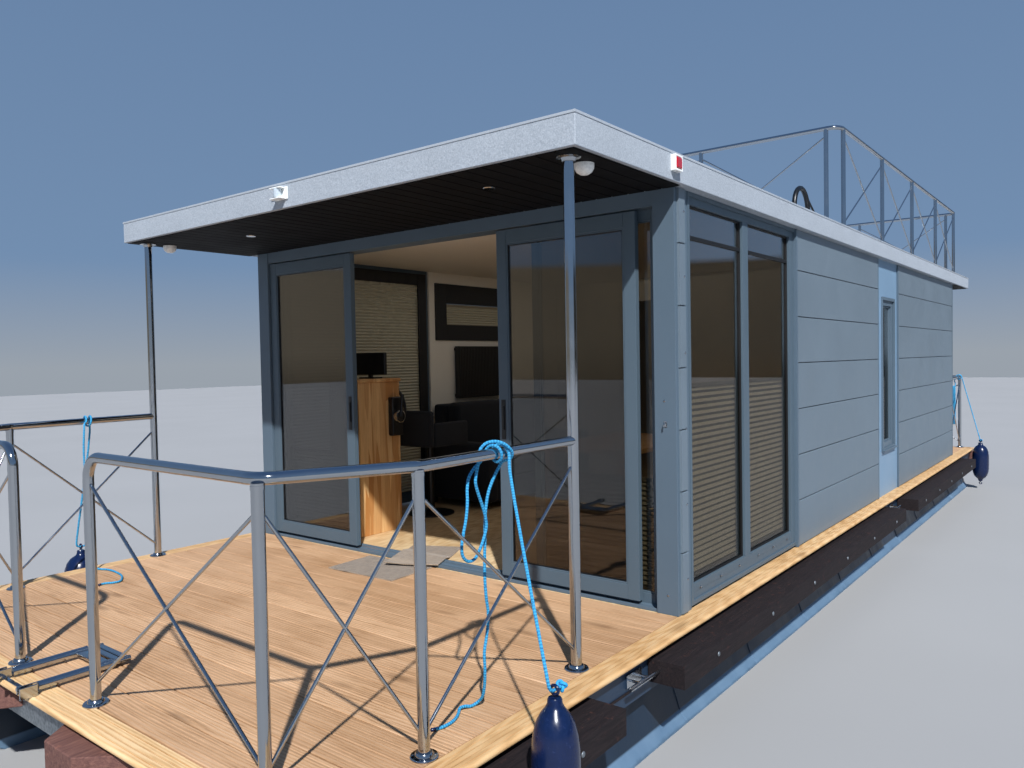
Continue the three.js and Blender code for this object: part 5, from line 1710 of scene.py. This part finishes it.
def aft_door():
    """A leaf with a light over two raised panels, and its lever handle."""
    _, y, z = limits_of("aft_door")
    x = (AFT + 0.002, AFT + 0.046)
    inner = inset(y, 0.110)
    light_up = (z[0] + 1.000, z[1] - 0.120)
    bm = bmesh.new()
    frame_bars(bm, "x", x, y, z, 0.110, 0.120, 0.003)
    slab(bm, x, inner, (z[0] + 0.120, light_up[0]), 0.002)
    for bottom, top in ((0.170, 0.530), (0.580, 0.950)):
        field = (z[0] + bottom, z[0] + top)
        frame_bars(bm, "x", (x[0] - 0.004, x[0] + 0.002), inset(y, 0.150), field, 0.016, 0.016)
    sash(bm, "x", inset(x, -0.003), inner, light_up, 0.016)
    piece("aft_door_leaf", bm, "panel", "rear_door", ("aft_door",))
    pane("aft_door_glass", "glass", span(x[0] + 0.021, PANE_HALF), inner, light_up, "rear_door")
    across, up, reach = y[0] + 0.050, z[0] + 0.945, x[0] - 0.034
    lever = [(x[0], across, up), (reach, across, up), (reach, across + 0.110, up)]
    bm = bmesh.new()
    slab(bm, (x[0] - 0.006, x[0]), span(across, 0.020), span(up, 0.110), 0.003)
    tube(bm, rounded(lever, 0.012, 5), 0.009, 12)
    piece("aft_door_handle", bm, "steel", "rear_door", angle=40)


def pleat(axis, depth, bottom, pitch, limits):
    """One fold of a blind, hollow side in."""
    near, far = depth
    thin = math.copysign(0.0012, far - near)
    section = [
        (near, bottom),
        (far - thin, bottom + pitch / 2),
        (near, bottom + pitch),
        (near + thin, bottom + pitch),
        (far, bottom + pitch / 2),
        (near + thin, bottom),
    ]
    bm = bmesh.new()
    prism(bm, section, axis, limits)
    bm.normal_update()
    # Painted light: faces turned upwards are marked 1 to take the blind's lit colour; the others take its
    # painted shade.
    fold = bm.faces.layers.float.new("fold")
    for face in bm.faces:
        face[fold] = 1.0 if face.normal.z > 0.1 else 0.0
    return bm


def blind(name, axis, depth, across, up, node=None, fold=0.030, finish="soft_blind"):
    """A stack of folds between a head bar and a foot bar."""
    bottom, top = up
    count = round((top - bottom) / fold)
    pitch = (top - bottom - 0.030) / count
    bm = pleat(axis, depth, bottom, pitch, across)
    row(name, bm, count, (0, 0, pitch), finish, 9, slot="blind", stands_for=(node,) if node else ())
    bm = bmesh.new()
    plan = (across, depth) if axis == "x" else (depth, across)
    slab(bm, *plan, (top - 0.030, top - 0.004), 0.003)
    slab(bm, *plan, (bottom - 0.010, bottom), 0.002)
    piece(name + "_bars", bm, "rail")


def blinds():
    """Two parts in the port corner window, one in the starboard one, and three small blinds."""
    for side, hand in HANDS:
        node = f"corner_blind_{side}"
        x, _, z = limits_of(node)
        finish, fold, parts = ("blind", 0.036, (("aft", (x[0], 2.585)), ("fore", (2.660, x[1]))))
        if hand < 0:
            finish, fold, parts = ("soft_blind", 0.029, (("whole", x),))
        for part, across in parts:
            name = f"corner_pleats_{side}_{part}"
            blind(name, "x", off_side(hand, -0.087, -0.074), across, inset(z, 0.010, 0), node, fold, finish)
        across = sorted((hand * 0.925, hand * 1.690))
        blind(f"front_pleats_{side}", "y", (FRONT - 0.138, FRONT - 0.126), across, (1.050, 1.680))
    x, _, z = limits_of("high_window")
    blind("high_pleats", "x", off_side(-1, -0.086, -0.073), inset(x, *HIGH_TRIM), HIGH_LIGHT)
    dark_linings(x, z)


def dark_linings(x, z):
    """Inner trims: a deep one round the high window, slim ones round the starboard corner window."""
    light_x = inset(x, *HIGH_TRIM)
    x, z = inset(x, -0.010), inset(z, -0.010)
    bars = [
        ((x[0], light_x[0]), z),
        ((light_x[1], x[1]), z),
        (light_x, (z[0], HIGH_LIGHT[0] - 0.010)),
        (light_x, (HIGH_LIGHT[1], z[1])),
        ((1.790, 1.900), (DECK + 0.020, 3.220)),
        ((1.900, 3.480), (3.110, 3.220)),
    ]
    bm = bmesh.new()
    for across, up in bars:
        slab(bm, across, (-WALL_IN + 0.0005, -WALL_IN + 0.014), up, 0.002)
    piece("inner_linings", bm, "gasket")


def glazing():
    for side, hand in HANDS:
        corner_window(side, hand)
        front_pane(side)
        leaf(side, hand)
    frame_bolts()
    small_window("narrow", "narrow_window", 1, 0.070, "post")
    small_window("high", "high_window", -1, 0.080)
    refine("front_frame", "post")
    aft_door()
    blinds()


# Lamps and roof fittings

def side_lamp(side, hand):
    """White housing with the coloured lens framed in its outer face."""
    node = f"side_lamp_{side}"
    x, _, z = limits_of(node)
    face = (ROOF_SIDES[1] if hand > 0 else ROOF_SIDES[0]) + hand * 0.0003
    bm = bmesh.new()
    frame_bars(bm, "y", (face, face + hand * 0.030), x, z, 0.009, 0.010)
    slab(bm, inset(x, 0.002), (face, face + hand * 0.010), inset(z, 0.002), 0.002)
    piece(node + "_housing", bm, "white", stands_for=(node,))
    bm = bmesh.new()
    slab(bm, inset(x, 0.010), (face + hand * 0.008, face + hand * 0.0347), inset(z, 0.011), 0.009, 4)
    lens = "red" if hand > 0 else "green"
    piece(node + "_lens", bm, lens)


def bow_lamp():
    """Clear lens between two slabs on a back plate."""
    _, y, z = limits_of("bow_lamp")
    x = ROOF_FRONT + 0.0003
    middle = sum(z) / 2
    bm = bmesh.new()
    slab(bm, (x, x + 0.008), y, z, 0.003, 3)
    for sign in (-1, 1):
        slab(bm, (x + 0.006, x + 0.046), (-0.160, -0.062), span(middle + sign * 0.030, 0.004), 0.003, 3)
    piece("bow_lamp_housing", bm, "white", stands_for=("bow_lamp",))
    half = [(0, -0.027), (0.022, -0.027), (0.024, -0.018)]
    profile = [*half, (0.0235, 0.0), *[(radius, -up) for radius, up in reversed(half)]]
    bm = bmesh.new()
    lathe(bm, profile, (x + 0.0258, -0.106, middle))
    piece("bow_lamp_lens", bm, "clear")


def soffit_lamps():
    """Two white domes beside the roof posts, and two spots between them."""
    bowl = [(0, -0.052), (0.020, -0.050), (0.036, -0.040), (0.045, -0.024)]
    dome = [*bowl, (0.047, -0.010), (0.047, 0), (0, 0)]
    spot = [(0, -0.006), (0.030, -0.006), (0.034, -0.002), (0.034, 0.0), (0, 0.0)]
    bm = bmesh.new()
    for x, y in ((4.390, 1.790), (4.391, -1.880)):
        lathe(bm, dome, (x, y, SOFFIT - SOFFIT_BOARD))
    piece("soffit_domes", bm, "white", angle=40)
    bm = bmesh.new()
    for x, y in ((4.254, -1.045), (4.297, 1.143)):
        lathe(bm, spot, (x, y, SOFFIT - SOFFIT_BOARD))
    piece("soffit_spots", bm, "steel", angle=40)


def roof_loop():
    """Black pipe arch that stands on the roof edge, with its thin stay."""
    y = 1.840
    aft, fore, tall = 1.345, 1.650, 0.186
    half = (fore - aft) / 2
    path = [(aft, y, ROOF)]
    for i in range(13):
        angle = math.pi * i / 12
        path.append((aft + half - half * math.cos(angle), y, ROOF + tall - half + half * math.sin(angle)))
    path.append((fore, y, ROOF))
    bm = bmesh.new()
    tube(bm, path, 0.018, 16)
    for x in (aft, fore):
        lathe(bm, [(0, 0), (0.034, 0), (0.030, 0.010), (0.018, 0.020), (0, 0.020)], (x, y, ROOF + 0.0005))
    stay = ((0.004, 0.130), (-0.080, 0.085), (-0.200, 0.022))
    tube(bm, [(aft + x, y, ROOF + z) for x, z in stay], 0.008, 10)
    foot = [(0, 0), (0.020, 0), (0.020, 0.014), (0.012, 0.028), (0, 0.032)]
    lathe(bm, foot, (aft + stay[-1][0], y, ROOF + 0.0005))
    piece("roof_loop", bm, "black", angle=40)


def lamps():
    for side, hand in HANDS:
        side_lamp(side, hand)
    bow_lamp()
    soffit_lamps()
    roof_loop()


# Inside

CONSOLE = {"x": (2.870, 3.320), "y": (-1.410, -1.050), "top": 2.225}
# Foot, neck and screen: half depth, half width, height over the console, bevel, segments.
DISPLAY = (
    (0.050, 0.090, (0.000, 0.012), 0.004, 2),
    (0.012, 0.020, (0.010, 0.050), 0.004, 2),
    (0.017, 0.185, (0.030, 0.214), 0.008, 3),
)


def console():
    """Oak cabinet with a display on it."""
    x, y, top = CONSOLE.values()
    bm = bmesh.new()
    slab(bm, x, y, (DECK + FOOT, top - 0.030), 0.004)
    slab(bm, inset(x, -0.010), inset(y, -0.010), (top - 0.030, top), 0.006)
    piece("console_body", bm, "oak", stands_for=("helm_console",))
    at = (x[0] + 0.165, sum(y) / 2 + 0.015)
    bm = bmesh.new()
    for deep, wide, up, bevel, segments in DISPLAY:
        slab(bm, span(at[0], deep), span(at[1], wide), (top + up[0], top + up[1]), bevel, segments)
    throttle(bm, Vector((x[0] + 0.075, y[1], DECK + 0.950)))


def throttle(bm, at):
    """Black box with a lever, a bright ring and its hub, on the console's port face."""
    lever = [at + Vector((0, 0.090, 0)), at + Vector((-0.020, 0.092, 0.180))]
    slab(bm, span(at.x, 0.060), (at.y, at.y + 0.058), span(at.z, 0.160), 0.012, 3)
    tube(bm, lever, [0.012, 0.016], 14)
    piece("console_fittings", bm, "black")
    outside = [(0.040, 0.0), (0.054, 0.0), (0.056, 0.020), (0.052, 0.034)]
    ring = [*outside, (0.044, 0.036), (0.040, 0.026), (0.040, 0.0)]
    hub = [(0, 0.0), (0.0395, 0.0), (0.0395, 0.022), (0.030, 0.034), (0, 0.038)]
    turned = (("ring", ring, "steel", "stainless"), ("hub", hub, "black", "black_plastic"))
    for name, profile, finish, slot in turned:
        bm = bmesh.new()
        lathe(bm, profile, at + ACROSS * 0.056, ACROSS)
        piece(f"throttle_{name}", bm, finish)


def wheel():
    """Rim, hub, three spokes and a stub of the shaft."""
    centre = Vector((2.810, -1.230, DECK + 1.005))
    radius = 0.180
    bm = bmesh.new()
    tube(bm, circle(centre, radius, 48, ACROSS, UP), 0.014, 14, closed=True)
    hub = [(0, -0.012), (0.026, -0.012), (0.034, -0.006), (0.034, 0.055), (0, 0.055)]
    lathe(bm, hub, centre, ALONG)
    for rim in circle(centre, radius, 3, UP, -ACROSS):
        tube(bm, [centre, centre.lerp(rim, 0.5), rim], [0.012, 0.009, 0.010], 12)
    tube(bm, [centre + ALONG * 0.050, centre + ALONG * 0.100], 0.009, 12)
    piece("helm_wheel_rim", bm, "black", "wheel", ("helm_wheel",), 40)


def stuffed(name, x, y, z, node, bevel=0.030):
    """A cushion as its own padded piece."""
    bm = bmesh.new()
    slab(bm, x, y, z, bevel, 4)
    made = piece(name, bm, "fabric", stands_for=(node,), angle=60)


def sofa():
    """The sofa: base, back, two seats, two cushions, two arms and its feet."""
    x, y, z = limits_of("sofa")
    arm = 0.160
    back = y[0] + 0.230
    base, seat = DECK + 0.060, DECK + 0.430
    between = inset(x, arm)
    stuffed("sofa_base", inset(x, 0.02), inset(y, 0.01, 0.02), (base, seat - 0.16), "sofa", 0.02)
    stuffed("sofa_back", between, (y[0], back - 0.06), (seat - 0.17, z[1] - 0.02), "sofa")
    width = (between[1] - between[0]) / 2
    for i in range(2):
        start = between[0] + i * width
        across = inset((start, start + width), 0.003)
        stuffed(f"sofa_seat_{i}", across, (back - 0.08, y[1]), (seat - 0.155, seat), "sofa", 0.04)
        cushion = (back - 0.055, back + 0.10)
        stuffed(f"sofa_cushion_{i}", across, cushion, (seat + 0.005, z[1]), "sofa", 0.05)
    for i, start in enumerate((x[0], between[1])):
        across = (start, start + arm - 0.003)
        stuffed(f"sofa_arm_{i}", across, inset(y, 0, 0.01), (base, seat + 0.19), "sofa", 0.04)
    bm = bmesh.new()
    for along in inset(x, 0.08):
        for across in inset(y, 0.08, 0.10):
            foot = [(0, FOOT), (0.018, FOOT), (0.024, 0.064), (0, 0.064)]
            lathe(bm, foot, (along, across, DECK), UP, 16)
    piece("sofa_feet", bm, "black")


def armchair():
    """Helm chair: an upholstered tub on a stem and a round foot."""
    x, y, z = limits_of("armchair")
    tub, seat, arm = (DECK + level for level in (0.635, 0.720, 0.850))
    back = x[1] - 0.060
    inner = (x[0], back - 0.002)
    stuffed("chair_back", (back, x[1]), y, (tub, z[1]), "armchair", 0.028)
    stuffed("chair_seat", inner, inset(y, 0.052), (tub, seat), "armchair", 0.028)
    for i, start in enumerate((y[0], y[1] - 0.050)):
        stuffed(f"chair_arm_{i}", inner, (start, start + 0.050), (tub, arm), "armchair", 0.022)
    foot = [(0, FOOT), (0.210, FOOT), (0.210, 0.012), (0.060, 0.024)]
    stem = [(0.032, 0.040), (0.030, 0.634), (0, 0.634)]
    bm = bmesh.new()
    lathe(bm, foot + stem, (sum(x) / 2, sum(y) / 2, DECK), UP, 40)
    piece("chair_stem", bm, "black", angle=40)


def radiator():
    """Ribs between two rails, on the starboard wall."""
    bm = bmesh.new()
    slab(bm, (0.645, 0.668), (-WALL_IN + 0.010, -WALL_IN + 0.080), (1.970, 2.510), 0.006)
    row("radiator_ribs", bm, 30, (0.0245, 0, 0), "black", 10, slot="black_plastic")
    bm = bmesh.new()
    for z in (2.000, 2.480):
        slab(bm, (0.650, 1.380), (-WALL_IN + 0.002, -WALL_IN + 0.070), span(z, 0.015), 0.004)
    piece("radiator_rails", bm, "black")


def galley():
    """Cabinet on a plinth, three doors and a worktop."""
    x, y, z = limits_of("galley")
    face = x[1] - 0.022
    start, count = y[0] + 0.020, 3
    width = (y[1] - start) / count
    bm = bmesh.new()
    slab(bm, (x[0], face), (start, y[1]), (DECK + 0.100, z[1] - 0.041), 0.002)
    slab(bm, inset(x, 0, 0.060), inset(y, 0.030, 0), (DECK + FOOT, DECK + 0.100))
    piece("galley_body", bm, "cream", stands_for=("galley",))
    bm = bmesh.new()
    door = inset((start, start + width), 0.002)
    slab(bm, (face, x[1] - 0.003), door, (DECK + 0.104, z[1] - 0.060), 0.002)
    row("galley_doors", bm, count, (0, width, 0), "cream", 11, slot="cream")
    bm = bmesh.new()
    slab(bm, x, y, (z[1] - 0.040, z[1]), 0.003)
    piece("galley_top", bm, "oak")


def inside():
    console()
    wheel()
    sofa()
    armchair()
    radiator()
    galley()
    refine("table", "oak", bevel=0.004)


# Mats

MAT = {"length": 0.600, "width": 0.385, "thick": 0.006}
SILL_LINE = [
    (FRONT - 0.560, 0.001),
    (FRONT - 0.260, 0.001),
    (FRONT - 0.162, 0.022),
    (FRONT + 0.020, 0.022),
    (FRONT + 0.110, 0.018),
    (FRONT + 0.170, 0.026),
    (FRONT + 0.230, 0.044),
]


def sill_height(x):
    for (a, low), (b, high) in zip(SILL_LINE, SILL_LINE[1:]):
        if x <= b:
            return low + (high - low) * max(0.0, (x - a) / (b - a))
    return SILL_LINE[-1][1]


def mat(name, node, x, y, turn, height):
    """A ribbed mat as a closed sheet that follows what it lies on."""
    along = Vector((math.cos(math.radians(turn)), math.sin(math.radians(turn)), 0))
    across = Vector((-along.y, along.x, 0))
    columns, rows = 60, 40
    bm = bmesh.new()
    layers = []
    for lift in (0.0, MAT["thick"]):
        grid = []
        for i in range(columns + 1):
            line = []
            for j in range(rows + 1):
                u = (i / columns - 0.5) * MAT["length"]
                v = (j / rows - 0.5) * MAT["width"]
                at = Vector((x, y, 0)) + along * u + across * v
                line.append(bm.verts.new((at.x, at.y, DECK + height(at.x) + lift)))
            grid.append(line)
        layers.append(grid)
    low, high = layers
    for i in range(columns):
        for j in range(rows):
            bm.faces.new((low[i][j], low[i][j + 1], low[i + 1][j + 1], low[i + 1][j]))
            bm.faces.new((high[i][j], high[i + 1][j], high[i + 1][j + 1], high[i][j + 1]))
    rim = [(i, 0) for i in range(columns)] + [(columns, j) for j in range(rows)]
    rim += [(i, rows) for i in range(columns, 0, -1)] + [(0, j) for j in range(rows, 0, -1)]
    for (i, j), (k, l) in zip(rim, rim[1:] + rim[:1]):
        bm.faces.new((low[i][j], low[k][l], high[k][l], high[i][j]))
    made = piece(name, bm, "mat", stands_for=(node,), angle=50)


def mats():
    mat("deck_mat", "mat_deck", FRONT + 0.223, -0.235, 92, lambda x: 0.001)
    mat("sill_mat", "mat_sill", FRONT - 0.175, -0.200, 26, sill_height)


# Motor

def motor():
    refine("motor_leg", "cowl", "leg", 0.008, 3)
    refine("motor_swivel", "cowl", "swivel")
    refine("propeller", "steel", "screw", 0.002)
    refine("motor_bracket", "zinc", "hull")


# Build order


camera()
stage()
ropes()
decks()
hull()
rails()
roof()
walls()
glazing()
lamps()
inside()
mats()
motor()
